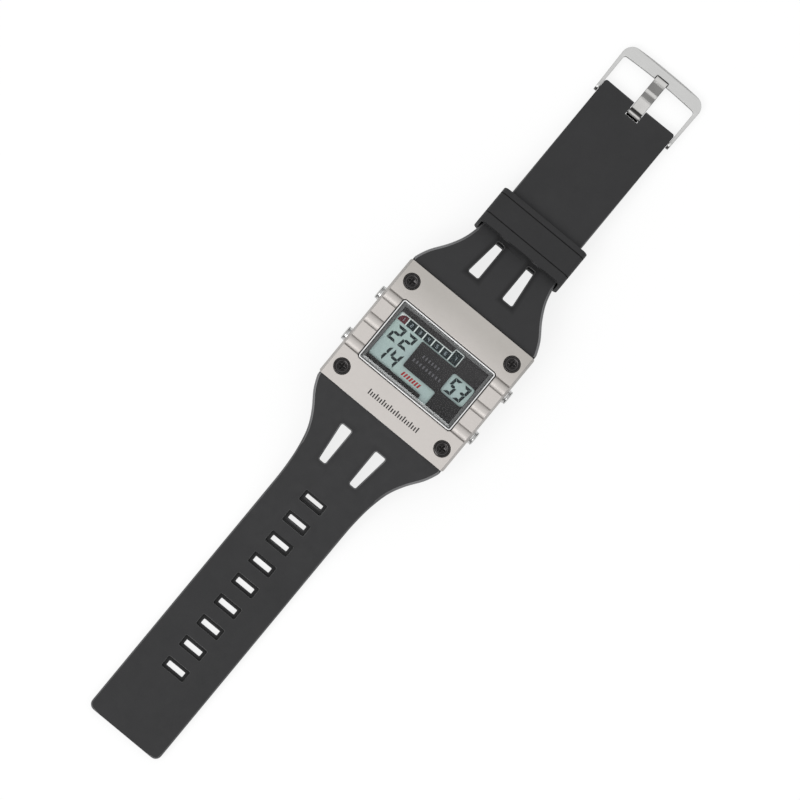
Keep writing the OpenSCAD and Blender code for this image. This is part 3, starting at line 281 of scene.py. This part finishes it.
def strap_resin(name, dark, light, rough, gloss=0.2, heads=1.0):
    """Strap resin with painted shade at its vents and slots; heads paints a highlight on its heads."""
    s = Shader(name, gloss)
    # Painted highlight on the strap's heads, fading out over HEAD_FADE
    head = s.span(s.math("ABSOLUTE", s.along(1)), (HEAD_END, HEAD_END - HEAD_FADE))
    body = s.mix(head, clouded(s, dark, light), lighter(light, heads))
    body = grained(s, body, lighter(light, 1.5), 0.25)
    # Painted shade round the vents, stronger on the short strap, and painted shade in the slots' recesses
    vents = s.math("MULTIPLY", vent_shade(s), s.span(s.along(1), (0.0, CASE_END_Y), VENT_SHADES))
    slots = s.math("MULTIPLY", s.shade_mask(RESIN_HOLLOW, (0.95, 0.7)), 0.9)
    s.to("Base Color", s.mix(s.math("MAXIMUM", vents, slots), body, lighter(dark, 0.3)))
    resin_surface(s, rough, 0.3)
    return s.mat


def blasted(name, far, near, rough):
    """Bead-blasted metal under lacquer with a very fine grain, and painted light and shade."""
    s = Shader(name, 0.5, metallic=0.6)
    fine = s.noise(9000, rough=0.7)
    # Painted light: paler towards the near band
    run = s.span(s.along(1), (CASE_END_Y * 0.85, CASE_END_Y * 0.35))
    cloud = s.spread(s.noise(60), (-0.1, 0.1))
    body = s.mix(s.math("ADD", run, cloud), far, near)
    body = s.mix(s.spread(fine, (0.0, 0.12)), body, lighter(far, 0.72))
    # Painted shade: darker on the sides that face left and right
    sides = s.span(s.math("ABSOLUTE", s.facing(0)), (0.3, 0.8), (0.0, 0.45))
    body = s.mix(sides, body, lighter(far, 0.5))
    s.to("Base Color", s.with_painted_shade(body, lighter(far, 0.4), PLATE_HOLLOW, 0.5))
    s.to("Roughness", s.spread(s.noise(700, detail=3.0), rough))
    s.to("Normal", s.bump(fine, 0.012 * MM, 0.25))
    return s.mat


def polished(name, tone, rough, marks=0.06, shade=0.6, slopes=1.0):
    """Polished steel with hairline marks and a few faint smears; its slopes are painted, the tone times
    slopes.
    """
    s = Shader(name, 0.5, metallic=1.0)
    smear = s.noise(300, detail=3.0)
    body = s.mix(s.span(smear, (0.35, 0.75), (0.0, 0.35)), tone, lighter(tone, 0.8))
    # Painted light on the slopes: a highlight where slopes is over 1, a dark reflection where it is under 1
    body = s.mix(s.span(s.facing(2), (0.998, 0.965)), body, lighter(tone, slopes))
    s.to("Base Color", s.with_painted_shade(body, lighter(tone, 0.2), STEEL_HOLLOW, shade))
    s.to("Roughness", s.spread(smear, rough))
    hairlines = s.noise(2200, place=s.stretched(1.0, 14.0, 14.0))
    s.to("Normal", s.bump(hairlines, 0.01 * MM, marks))
    return s.mat


def brushed(name, tone, rough, run=(1.0, 40.0, 40.0), lines=0.3, shade=0.6, inner=1.0):
    """Steel brushed one way with long fine lines; walls that face -Y get painted shade, the tone times
    inner.
    """
    s = Shader(name, 0.5, metallic=1.0)
    hair = s.noise(260, detail=4.0, rough=0.7, place=s.stretched(*run))
    body = s.mix(s.spread(hair, (0.0, 0.5)), tone, lighter(tone, 0.84))
    body = s.mix(s.spread(s.noise(70), (0.0, 0.2)), body, lighter(tone, 1.12))
    # Painted shade on the walls that face -Y
    body = s.mix(s.span(s.facing(1), (-0.2, -0.6)), body, lighter(tone, inner))
    s.to("Base Color", s.with_painted_shade(body, lighter(tone, 0.2), STEEL_HOLLOW, shade))
    s.to("Roughness", s.spread(hair, rough))
    s.to("Normal", s.bump(hair, 0.02 * MM, lines))
    return s.mat


def plastic(name, dark, light, rough):
    """Moulded plastic: a soft drift in tone, an uneven sheen and a fine grain."""
    s = Shader(name, 0.5)
    s.to("Base Color", s.mix(s.spread(s.noise(260, detail=3.0)), dark, light))
    s.to("Roughness", s.spread(s.noise(900), rough))
    s.to("Normal", s.bump(s.noise(5000), 0.01 * MM, 0.15))
    return s.mat


def liquid_crystal(name, green, blue, line, rough):
    """The display's pale teal face: a slow green to blue drift, a fine cell grid and a soft sheen."""
    s = Shader(name, 0.3)
    base = s.mix(s.spread(s.noise(85)), green, blue)
    cells = {"Vector": s.place, "Scale": 4200.0, "Brick Width": 1.0, "Row Height": 1.0, "Mortar Size": 0.03}
    grid = s.node("TexBrick", cells, offset=0.0).outputs["Fac"]
    s.to("Base Color", s.mix(s.math("MULTIPLY", grid, 0.12), base, line))
    s.to("Roughness", s.spread(s.noise(800), rough))
    return s.mat


def mask_sheet(name, near, far, line, rough):
    """The dial mask: a dark printed sheet with faint upright brushing, paler at its far side as painted
    reflection.
    """
    s = Shader(name, 0.25)
    hair = s.noise(900, detail=3.0, rough=0.6, place=s.stretched(1.0, 9.0, 1.0))
    # A painted reflection: paler towards the far side
    base = s.mix(s.span(s.along(1), (-6 * MM, 9 * MM)), near, far)
    s.to("Base Color", s.mix(s.span(hair, (0.35, 0.7), (0.0, 0.12)), base, line))
    s.to("Roughness", s.spread(hair, rough))
    s.to("Normal", s.bump(hair, 0.01 * MM, 0.05))
    return s.mat


def printed(name, dark, light):
    """A layer of print: mottled in tone and sheen."""
    s = Shader(name, 0.25)
    mottle = s.noise(2600, detail=3.0)
    s.to("Base Color", s.mix(s.span(mottle, (0.35, 0.65)), dark, light))
    s.to("Roughness", s.span(mottle, (0.35, 0.65), (0.5, 0.62)))
    s.to("Normal", s.bump(mottle, 0.004 * MM, 0.2))
    return s.mat


def clear(name, tint, edge_tint, rough):
    """The crystal: clear over the display with a faint gloss, and bright where its bevel turns the light."""
    s = Shader(name, 0.5, metallic=1.0)
    up = s.facing(2)
    bevel = s.math("MULTIPLY", s.span(up, (0.98, 0.93)), s.span(up, (0.3, 0.5)))
    # The bevel's painted reflection is stronger where it faces the near side
    strength = s.span(s.facing(1), (-0.3, 0.3), (0.25, 0.16))
    smear = s.noise(60, place=s.stretched(1.0, 0.4, 1.0))
    gloss = s.span(smear, (0.35, 0.75), (0.004, 0.012))
    s.to("Base Color", s.mix(s.spread(s.noise(500)), tint, edge_tint))
    s.to("Alpha", s.math("ADD", gloss, s.math("MULTIPLY", bevel, strength)))
    s.to("Roughness", s.span(s.noise(240, detail=3.0), (0.4, 0.8), rough))
    return s.mat


def circuit(name, mask, other_mask, track, rough):
    """Green solder mask over a net of tracks."""
    s = Shader(name, 0.5)
    net = {"Vector": s.place, "Scale": 900.0, "Mortar Size": 0.05}
    net.update({"Color1": mask, "Color2": other_mask, "Mortar": track})
    s.to("Base Color", s.node("TexBrick", net).outputs["Color"])
    s.to("Roughness", s.spread(s.noise(900), rough))
    return s.mat


# The finish of each material slot of the record
finishes = {
    "case_resin": resin("case_resin_looks", colour(34, 34, 36), colour(38, 38, 40), (0.42, 0.52)),
    "strap_resin": strap_resin(
        "strap_resin_looks", colour(51, 51, 52), colour(54, 54, 55), (0.52, 0.62)),
    "bezel_metal": blasted(
        "bezel_metal_looks", colour(183, 179, 174), colour(208, 203, 199), (0.42, 0.5)),
    "back_steel": brushed("back_steel_looks", colour(196, 196, 195), (0.2, 0.34)),
    "small_steel": brushed("small_steel_looks", colour(188, 188, 188), (0.25, 0.4)),
    "pusher_steel": polished("pusher_steel_looks", colour(206, 206, 205), (0.2, 0.28)),
    "trim_chrome": polished("trim_chrome_looks", colour(232, 232, 232), (0.12, 0.2), marks=0.03),
    # The screws' slopes carry a painted highlight
    "black_steel": polished(
        "black_steel_looks", colour(43, 42, 42), (0.2, 0.3), marks=0.12, slopes=6.5),
    "brass": brushed("brass_looks", colour(206, 172, 96), (0.25, 0.4)),
    "crystal_glass": clear(
        "crystal_glass_looks", colour(250, 252, 252), colour(236, 240, 240), (0.16, 0.24)),
    "mask_plastic": mask_sheet(
        "mask_plastic_looks", colour(33, 33, 34), colour(50, 49, 50), colour(78, 75, 76), (0.42, 0.55)),
    "dark_ink": printed("dark_ink_looks", colour(22, 34, 36), colour(30, 42, 45)),
    "display_glass": liquid_crystal(
        "display_glass_looks", colour(172, 193, 188), colour(162, 180, 182), colour(140, 160, 158),
        (0.34, 0.44)),
    "white_plastic": plastic(
        "white_plastic_looks", colour(226, 226, 221), colour(238, 238, 234), (0.4, 0.55)),
    "led_plastic": plastic(
        "led_plastic_looks", colour(232, 220, 160), colour(244, 234, 180), (0.3, 0.4)),
    "contact_rubber": plastic(
        "contact_rubber_looks", colour(186, 104, 74), colour(204, 120, 88), (0.6, 0.75)),
    "board_green": circuit(
        "board_green_looks", colour(42, 104, 62), colour(38, 96, 58), colour(84, 148, 92), (0.3, 0.5)),
    "chip_black": plastic("chip_black_looks", colour(26, 26, 27), colour(34, 34, 35), (0.45, 0.6)),
    "seal_rubber": plastic("seal_rubber_looks", colour(20, 20, 21), colour(28, 28, 29), (0.55, 0.7)),
    # The buckle's walls that face -Y carry painted shade
    "buckle_steel": brushed(
        "buckle_steel_looks", colour(203, 203, 202), (0.28, 0.38), run=(1.0, 22.0, 22.0), lines=0.08,
        shade=0.0, inner=0.2),
    # The tongue's slopes carry a painted dark reflection
    "tongue_steel": polished(
        "tongue_steel_looks", colour(205, 204, 202), (0.2, 0.26), marks=0.02, shade=0.0, slopes=0.14),
}
# Smoother finishes for the rounded edges, paler as a painted highlight; the strap's is palest at its heads
edge_highlight_finishes = {
    "case_resin": resin("case_edge_highlight_looks", colour(40, 40, 42), colour(48, 48, 50), (0.36, 0.46), 0.2),
    "strap_resin": strap_resin(
        "strap_edge_highlight_looks", colour(76, 76, 77), colour(82, 82, 83), (0.3, 0.38), gloss=0.5, heads=2.4),
}
# A finish of its own for a node that shares its slot with others
node_finishes = {
    "keeper_loop": resin("keeper_looks", colour(45, 45, 46), colour(48, 48, 49), (0.5, 0.6)),
}


# Softened edges of the CAD nodes

# The least angle in degrees between two faces at which their edge is rounded, on nodes with zones and on
# the others
SHARP = 30
SHARP_UNMARKED = 28
# Faces that lie flatter to each other than this many degrees are joined first
FLAT = 0.4
# Points nearer to each other than this are joined
JOIN = 0.0005 * MM
# How much large faces count over small ones where the shading of neighbours is averaged; 50 is neutral
SIZE_WEIGHT = 60


def geometry_group(name):
    """A node group that takes a mesh and gives one back, with its two ends."""
    group = bpy.data.node_groups.new(name, "GeometryNodeTree")
    group.interface.new_socket("Geometry", in_out="INPUT", socket_type="NodeSocketGeometry")
    group.interface.new_socket("Geometry", in_out="OUTPUT", socket_type="NodeSocketGeometry")
    start = group.nodes.new("NodeGroupInput").outputs[0]
    end = group.nodes.new("NodeGroupOutput").inputs[0]
    return group, start, end


def shade_group():
    """Clears the imported shading and joins the points, so that the bevels decide the edges."""
    group, last, end = geometry_group("plain_shading")
    drop = group.nodes.new("GeometryNodeRemoveAttribute")
    drop.inputs["Name"].default_value = "custom_normal"
    merge = group.nodes.new("GeometryNodeMergeByDistance")
    merge.inputs["Distance"].default_value = JOIN
    faces = group.nodes.new("GeometryNodeSetShadeSmooth")
    faces.domain = "FACE"
    edges = group.nodes.new("GeometryNodeSetShadeSmooth")
    edges.domain = "EDGE"
    for made in (drop, merge, faces, edges):
        group.links.new(last, made.inputs["Geometry"])
        last = made.outputs[0]
    group.links.new(last, end)
    return group


def edge_group(name, share, zones):
    """Marks sharp edges for rounding with a share of the width; those in a zone get the zone's share."""
    group, start, end = geometry_group(name)

    def value(operation, a, b=0.0):
        return add_node(group, "Math", {0: a, 1: b}, operation=operation).outputs[0]

    place = group.nodes.new("GeometryNodeInputPosition").outputs[0]
    parts = add_node(group, "SeparateXYZ", {0: place}).outputs
    across = value("ABSOLUTE", parts[0])
    along = value("ABSOLUTE", parts[1])
    weight = share
    for (x0, x1), (y0, y1), own in zones:
        inside = value("MULTIPLY", value("GREATER_THAN", across, x0), value("LESS_THAN", across, x1))
        inside = value("MULTIPLY", inside, value("GREATER_THAN", along, y0))
        inside = value("MULTIPLY", inside, value("LESS_THAN", along, y1))
        kept = value("MULTIPLY", value("SUBTRACT", 1.0, inside), weight)
        weight = value("ADD", kept, value("MULTIPLY", inside, own))
    angle = group.nodes.new("GeometryNodeInputMeshEdgeAngle").outputs[0]
    sharp = value("GREATER_THAN", angle, math.radians(SHARP))
    store = group.nodes.new("GeometryNodeStoreNamedAttribute")
    store.data_type = "FLOAT"
    store.domain = "EDGE"
    store.inputs["Name"].default_value = "bevel_weight_edge"
    group.links.new(start, store.inputs["Geometry"])
    group.links.new(value("MULTIPLY", sharp, weight), store.inputs["Value"])
    group.links.new(store.outputs[0], end)
    return group


# How far a zone reaches out from the window and from the screws, and inwards from the screws' outer side
WINDOW_RIM = 0.5 * MM
SCREW_RIM = 0.6 * MM
SCREW_REACH = 5 * MM
# Zones of edges: the ranges of their distance from the middle across and along, and their share of the
# width. Where two zones meet, the later one in a list counts.
FAR = 1.0
ALL = (-FAR, FAR)
window_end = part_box("window_trim")[1]
screw_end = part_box("corner_screws")[1]
BAND_ZONE = (ALL, (HEAD_END, FAR), 0.6)
VENT_ZONE = ((-FAR, VENT_NEAR + 0.6 * MM), (VENT_START - MM, VENT_END + MM), 0.5)
SLOT_ZONE = ((-FAR, VENT_IN), (VENT_END + MM, FAR), 0.16)
ROOT_ZONE = (ALL, (-FAR, CASE_END_Y + 0.1 * MM), 0.0)
END_CORNER_ZONE = ((STRAP_W / 2 - MM, FAR), (short_strap_end - 1.5 * MM, FAR), 0.0)
WINDOW_ZONE = ((-FAR, window_end.x + WINDOW_RIM), (-FAR, window_end.y + WINDOW_RIM), 1.0)
SCREW_ZONE = (
    (screw_end.x - SCREW_REACH, screw_end.x + SCREW_RIM),
    (screw_end.y - SCREW_REACH, screw_end.y + SCREW_RIM),
    0.8,
)
PLATE_CORNER_ZONE = ((plate_end.x - MM, FAR), (plate_end.y - MM, FAR), 0.0)

STRAP_ZONES = [BAND_ZONE, VENT_ZONE, SLOT_ZONE, ROOT_ZONE]
EDGES = {
    "strap_upper": edge_group("short_strap_edges", 1.0, STRAP_ZONES + [END_CORNER_ZONE]),
    "strap_lower": edge_group("long_strap_edges", 1.0, STRAP_ZONES),
    "bezel_plate": edge_group("bezel_edges", 0.2, [WINDOW_ZONE, SCREW_ZONE, PLATE_CORNER_ZONE]),
}
SHADING = shade_group()

# Width in millimetres by which each node's edges are rounded
ROUND = {
    "case_body": 0.05,
    "case_back": 0.15,
    "back_screws": 0.05,
    "bezel_plate": 0.25,
    "corner_screws": 0.12,
    "window_trim": 0.1,
    "dial_mask": 0.03,
    "strap_upper": 0.65,
    "strap_lower": 0.65,
    "keeper_loop": 0.05,
    "buckle_frame": 0.12,
    "buckle_tongue": 0.1,
    "spring_bar_tube": 0.05,
    "pusher_bushes": 0.03,
}
PUSHER_ROUND = 0.06


def rounding(name):
    """The width in millimetres by which a node's edges are rounded; 0 leaves them sharp."""
    return ROUND.get(name, PUSHER_ROUND if name.startswith("pusher_") else 0.0)


def soften(obj, width, edges=None):
    """Rounds the sharp edges of a piece by the given width, or by its shares, and shades the rest smooth."""
    plain = obj.modifiers.new("plain", "NODES")
    plain.node_group = SHADING
    joined = obj.modifiers.new("flat_faces", "DECIMATE")
    joined.decimate_type = "DISSOLVE"
    joined.angle_limit = math.radians(FLAT)
    if edges:
        marks = obj.modifiers.new("edge_weights", "NODES")
        marks.node_group = edges
    bevel = obj.modifiers.new("edges", "BEVEL")
    bevel.width = width
    bevel.segments = 3 if edges else 2
    bevel.limit_method = "WEIGHT" if edges else "ANGLE"
    bevel.angle_limit = math.radians(SHARP_UNMARKED)
    bevel.use_clamp_overlap = False
    bevel.miter_outer = "MITER_ARC"
    if len(obj.material_slots) > 1:
        bevel.material = 1
    normals = obj.modifiers.new("normals", "WEIGHTED_NORMAL")
    normals.mode = "FACE_AREA"
    normals.weight = SIZE_WEIGHT
    normals.keep_sharp = True


def dress(name, obj):
    """Gives a CAD node its finish and rounds its edges."""
    slot_name = obj.material_slots[0].material.name.split(".")[0]
    for slot in obj.material_slots:
        slot.material = node_finishes.get(name, finishes[slot_name])
    if name in ROUND and slot_name in edge_highlight_finishes and name not in node_finishes:
        obj.data.materials.append(edge_highlight_finishes[slot_name])
    if rounding(name):
        soften(obj, rounding(name) * MM, EDGES.get(name))


for node_name, node in nodes.items():
    dress(node_name, node)


# Return springs


def return_spring(side):
    """A pusher's spring: a copy of its coil, which is hidden."""
    coil = nodes["spring_" + side]
    wire = new_object("return_spring_" + side, coil.data.copy())
    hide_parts(coil.name)
    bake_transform(wire)


for side in ("right_upper", "right_lower", "left_upper", "left_lower"):
    return_spring(side)


# Print on the display, the mask and the bezel, in millimetres

# A layer's thickness, and the heights of the faces that are printed on
PRINT_T = 0.02
FACE_Z = box_mm("lcd_glass")[1].z
INK_Z = box_mm("day_tiles")[1].z
MASK_Z = box_mm("dial_mask")[1].z
BAND_Z = box_mm("bezel_plate")[1].z
tiles_low, tiles_high = box_mm("day_tiles")
figures_low = box_mm("lcd_segments")[0]

white = printed("display_white_looks", colour(224, 232, 230), colour(236, 242, 240))
pale = printed("display_pale_looks", colour(150, 164, 170), colour(166, 178, 184))
faint = printed("display_faint_looks", colour(92, 92, 96), colour(104, 104, 108))
maroon = printed("display_maroon_looks", colour(82, 38, 45), colour(94, 46, 53))
red = printed("display_red_looks", colour(152, 34, 38), colour(170, 44, 48))
black = printed("bezel_print_looks", colour(38, 37, 37), colour(48, 46, 46))


def prism(bm, outline, low, high):
    """A closed prism on an outline of X and Y, from one height to another."""
    bottom = [bm.verts.new((x * MM, y * MM, low * MM)) for x, y in outline]
    top = [bm.verts.new((x * MM, y * MM, high * MM)) for x, y in outline]
    bm.faces.new(list(reversed(bottom)))
    bm.faces.new(top)
    for i in range(len(outline)):
        j = (i + 1) % len(outline)
        bm.faces.new((bottom[i], bottom[j], top[j], top[i]))


def printed_piece(name, outlines, low, thick, material):
    """A thin layer of print that rides on the case."""
    bm = bmesh.new()
    for outline in outlines:
        prism(bm, outline, low, low + thick)
    bmesh.ops.recalc_face_normals(bm, faces=bm.faces)
    obj = new_object(name, new_mesh(name, bm, material))
    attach(obj, "case")


def row(count, start, end, share, make):
    """Outlines of equal marks from start to end, each as wide as its share of the step."""
    step = (end - start) / (count - 1 + share)
    return [make(i, start + i * step, start + (i + share) * step) for i in range(count)]


# The day boxes: seven in a row, the last of them taller than the others
DAYS = 7
DAY_GAP = 0.4
LAST_DAY_STEP = 1.4
tile_w = (tiles_high.x - tiles_low.x - DAY_GAP * (DAYS - 1)) / DAYS
tile_step = tile_w + DAY_GAP
row_top = tiles_high.y - LAST_DAY_STEP
first_right = tiles_low.x + tile_w
last_left = tiles_high.x - tile_w

# The white lines' width and the gap under the long one, and the same for the lines round the last box
LINE_W = 0.24
LINE_GAP = 0.08
LAST_LINE_W = 0.2
LAST_LINE_GAP = 0.06


def day_lines():
    """A line over the row of day boxes, one between each two of them, and three round the tall last one."""
    line_y = row_top + LINE_GAP
    lines = [box_outline(tiles_low.x, line_y, last_left - DAY_GAP, line_y + LINE_W)]
    for i in range(DAYS - 1):
        x = first_right + DAY_GAP / 2 + i * tile_step
        lines.append(box_outline(x - LINE_W / 2, tiles_low.y, x + LINE_W / 2, line_y))
    left = last_left - LAST_LINE_GAP
    right = tiles_high.x + LAST_LINE_GAP
    top = tiles_high.y + LAST_LINE_GAP
    lines.append(box_outline(left - LAST_LINE_W, line_y + LINE_W, left, top + LAST_LINE_W))
    lines.append(box_outline(left, top, right + LAST_LINE_W, top + LAST_LINE_W))
    lines.append(box_outline(right, tiles_low.y, right + LAST_LINE_W, top))
    printed_piece("day_lines", lines, FACE_Z, PRINT_T, white)


# The curve that cuts off the first day box's far left corner, measured from that corner
FIRST_DAY_CUT = [(0.0, -1.3), (0.35, -0.62), (0.8, -0.25), (1.3, 0.0)]


def first_day():
    """The first day box is red, and its far left corner is cut off in white."""
    curve = [(tiles_low.x + x, row_top + y) for x, y in FIRST_DAY_CUT]
    corner = [(tiles_low.x, row_top)] + curve
    printed_piece("first_day_corner", [corner], INK_Z, PRINT_T, white)
    face = [(tiles_low.x, tiles_low.y), (first_right, tiles_low.y), (first_right, row_top)]
    face += reversed(curve)
    printed_piece("first_day_face", [face], INK_Z, PRINT_T, maroon)


# The small figures in the day boxes: the strokes a to g that each of them shows, and half a stroke's width
LIT = ["abcdef", "bc", "abged", "abgcd", "fgbc", "afgcd", "afgedc", "abc", "abcdefg", "abcdfg"]
SMALL_W = 0.62
SMALL_H = 1.05
SMALL_T = 0.075


def small_digit(value, x, y):
    """The strokes of a small figure whose near left corner is at x and y."""
    t = SMALL_T
    middle = SMALL_H / 2

    def level(at):
        return box_outline(x + t, y + at - t, x + SMALL_W - t, y + at + t)

    def upright(at, low, high):
        return box_outline(x + at - t, y + low, x + at + t, y + high)

    strokes = {
        "a": level(SMALL_H - t),
        "b": upright(SMALL_W - t, middle, SMALL_H),
        "c": upright(SMALL_W - t, 0, middle),
        "d": level(t),
        "e": upright(t, 0, middle),
        "f": upright(t, middle, SMALL_H),
        "g": level(middle),
    }
    return [strokes[letter] for letter in LIT[value]]


def day_numbers():
    """The numbers from 1 to 7, each in the middle of its day box."""
    outlines = []
    for i in range(DAYS):
        middle = tiles_low.x + tile_w / 2 + i * tile_step
        top = tiles_high.y if i == DAYS - 1 else row_top
        base = (tiles_low.y + top - SMALL_H) / 2
        outlines += small_digit(i + 1, middle - SMALL_W / 2, base)
    printed_piece("day_numbers", outlines, INK_Z + PRINT_T, PRINT_T, pale)


# The red bars: how many, where their row starts and ends across, how far their ends lie over the figures'
# near end, how far they lean, and a bar's share of the step
RED_BARS = 7
RED_X = (-3.95, 2.0)
RED_OVER_FIGURES = (0.15, 1.4)
RED_LEAN = 0.3
RED_SHARE = 0.6


def red_bars():
    """A row of slanted red bars beside the lower figures."""
    low, high = (figures_low.y + over for over in RED_OVER_FIGURES)

    def bar(i, x0, x1):
        return [(x0, low), (x1, low), (x1 + RED_LEAN, high), (x0 + RED_LEAN, high)]

    bars = row(RED_BARS, *RED_X, RED_SHARE, bar)
    printed_piece("red_bars", bars, FACE_Z, PRINT_T, red)


# The faint marks' two rows: how many, where the row starts and ends across, and its place along. Then a
# mark's height and its share of the step.
MARK_ROWS = ((6, -2.3, 3.2, 1.15), (9, -3.8, 5.4, -1.1))
MARK_H = 0.9
MARK_SHARE = 0.4


def faint_marks():
    """Two rows of faint upright marks on the mask between the display's two windows."""
    marks = []
    for count, start, end, middle in MARK_ROWS:
        low, high = middle - MARK_H / 2, middle + MARK_H / 2
        marks += row(count, start, end, MARK_SHARE, lambda i, x0, x1: box_outline(x0, low, x1, high))
    printed_piece("faint_marks", marks, MASK_Z, PRINT_T / 2, faint)


# The scale's ticks: how many, where they start and end across, their near end, a tick's share of the step,
# and their two heights
TICKS = 22
TICKS_X = (-7.55, 9.3)
TICKS_Y = -15.95
TICK_SHARE = 0.46
TALL_TICK = 1.65
SHORT_TICK = 1.2
TALL_EVERY = 3


def band_ticks():
    """A plain scale on the near band: every third tick is tall."""

    def tick(i, x0, x1):
        height = SHORT_TICK if i % TALL_EVERY else TALL_TICK
        return box_outline(x0, TICKS_Y, x1, TICKS_Y + height)

    ticks = row(TICKS, *TICKS_X, TICK_SHARE, tick)
    printed_piece("band_ticks", ticks, BAND_Z, PRINT_T / 4, black)


day_lines()
first_day()
day_numbers()
red_bars()
faint_marks()
band_ticks()


# Stage, light and camera

TABLE_GAP = 0.02 * MM
TABLE_Z = cad_box[0].z - TABLE_GAP
FLOOR_SIZE = 6.0
FLOOR_PAPER = (0.93, 0.93, 0.93, 1.0)
# How much of the floor's look is its own glow where it is seen, and how bright that glow is
FLOOR_GLOW = 0.75
GLOW_STRENGTH = 1.07

# The room is ROOM_TOP bright overhead, ROOM_FAR on its far side, and ROOM_LOW on its near side and low down
# all round. At its left and right, what is over ROOM_LOW falls to the share ROOM_SIDES.
ROOM_TOP = 1.02
ROOM_FAR = 0.75
ROOM_SIDES = 0.45
ROOM_LOW = 0.25
# Where each of these changes begins and ends, as parts of the unit direction; the backdrop ends upwards
FAR_EDGE = (0.4, 0.7)
SIDE_EDGE = (0.4, 0.8)
NEAR_EDGE = (-0.66, -0.4)
FOOT_EDGE = (0.1, 0.7)
BACKDROP_EDGE = (0.02, 0.12)

# The key light's place and side in metres, and its power in watts
KEY_PLACE = Vector((-0.35, -1.18, 1.58))
KEY_SIZE = 1.2
KEY_POWER = 11.5

# The camera looks straight down from high above and is turned, in degrees, so that the watch lies as in the
# photo. Its lens and sensor are in millimetres.
CAMERA_PLACE = (0.00038, -0.0118, 2.199)
CAMERA_TURN = 39.6
CAMERA_LENS = 367.5
CAMERA_SENSOR = 36.0
CAMERA_CLIP = (0.01, 20.0)


def seen(tree):
    """1 for what the camera sees itself, in a reflection or through glass."""
    path = add_node(tree, "LightPath").outputs
    total = path["Is Camera Ray"]
    for key in ("Is Glossy Ray", "Is Transmission Ray"):
        total = add_node(tree, "Math", {0: total, 1: path[key]}, operation="MAXIMUM").outputs[0]
    return total


def floor_material():
    """White paper that shows as white and still takes a shadow, and is clear when seen from below."""
    mat = bpy.data.materials.new("floor_looks")
    tree = empty_tree(mat)
    paper = add_node(tree, "BsdfDiffuse", {"Color": FLOOR_PAPER}).outputs[0]
    glow = add_node(tree, "Emission", {"Color": WHITE, "Strength": GLOW_STRENGTH}).outputs[0]
    share = add_node(tree, "Math", {0: seen(tree), 1: FLOOR_GLOW}, operation="MULTIPLY").outputs[0]
    above = add_node(tree, "MixShader", {0: share, 1: paper, 2: glow}).outputs[0]
    below = add_node(tree, "BsdfTransparent").outputs[0]
    from_below = add_node(tree, "NewGeometry").outputs["Backfacing"]
    both = add_node(tree, "MixShader", {0: from_below, 1: above, 2: below}).outputs[0]
    add_node(tree, "OutputMaterial", {"Surface": both})
    return mat


def floor():
    """A wide sheet of paper just under the watch."""
    bm = bmesh.new()
    square = box_outline(-FLOOR_SIZE, -FLOOR_SIZE, FLOOR_SIZE, FLOOR_SIZE)
    bm.faces.new([bm.verts.new((x, y, TABLE_Z)) for x, y in square])
    obj = new_object("floor", new_mesh("floor", bm, floor_material()))


def studio_room():
    """A room that is brightest overhead and dimmer on its near side, with a white backdrop low down."""
    world = bpy.data.worlds.new("studio")
    bpy.context.scene.world = world
    tree = empty_tree(world)
    way = add_node(tree, "TexCoord").outputs["Generated"]
    across, along, up = add_node(tree, "SeparateXYZ", {0: way}).outputs

    def value(operation, *inputs):
        return add_node(tree, "Math", dict(enumerate(inputs)), operation=operation).outputs[0]

    def ramp(way_part, ends, low=0.0, high=1.0):
        inputs = {0: way_part, 1: ends[0], 2: ends[1], 3: low, 4: high}
        return add_node(tree, "MapRange", inputs, interpolation_type="SMOOTHSTEP").outputs[0]

    top = ramp(along, FAR_EDGE, ROOM_TOP - ROOM_LOW, ROOM_FAR - ROOM_LOW)
    share = value("MULTIPLY", ramp(along, NEAR_EDGE), ramp(up, FOOT_EDGE))
    share = value("MULTIPLY", share, ramp(value("ABSOLUTE", across), SIDE_EDGE, 1.0, ROOM_SIDES))
    light = value("MULTIPLY_ADD", top, share, ROOM_LOW)
    room = add_node(tree, "Background", {"Color": WHITE, "Strength": light}).outputs[0]
    backdrop = add_node(tree, "Background", {"Color": WHITE, "Strength": 1.0}).outputs[0]
    shown = value("MULTIPLY", seen(tree), ramp(up, BACKDROP_EDGE, 1.0, 0.0))
    both = add_node(tree, "MixShader", {0: shown, 1: room, 2: backdrop}).outputs[0]
    add_node(tree, "OutputWorld", {"Surface": both})


def softbox():
    """The key light: a square softbox on the near left, turned to the watch."""
    light = bpy.data.lights.new("key", "AREA")
    light.shape = "SQUARE"
    light.size = KEY_SIZE
    light.energy = KEY_POWER
    obj = new_object("key", light)
    obj.location = KEY_PLACE
    obj.rotation_euler = (-KEY_PLACE).to_track_quat("-Z", "Y").to_euler()


def camera():
    """The scene's camera, with a long lens."""
    data = bpy.data.cameras.new("camera")
    data.lens = CAMERA_LENS
    data.sensor_width = CAMERA_SENSOR
    data.clip_start, data.clip_end = CAMERA_CLIP
    obj = new_object("camera", data)
    obj.location = CAMERA_PLACE
    obj.rotation_euler = (0.0, 0.0, math.radians(CAMERA_TURN))
    bpy.context.scene.camera = obj


floor()
studio_room()
softbox()
camera()
bpy.context.scene.view_settings.view_transform = "Standard"
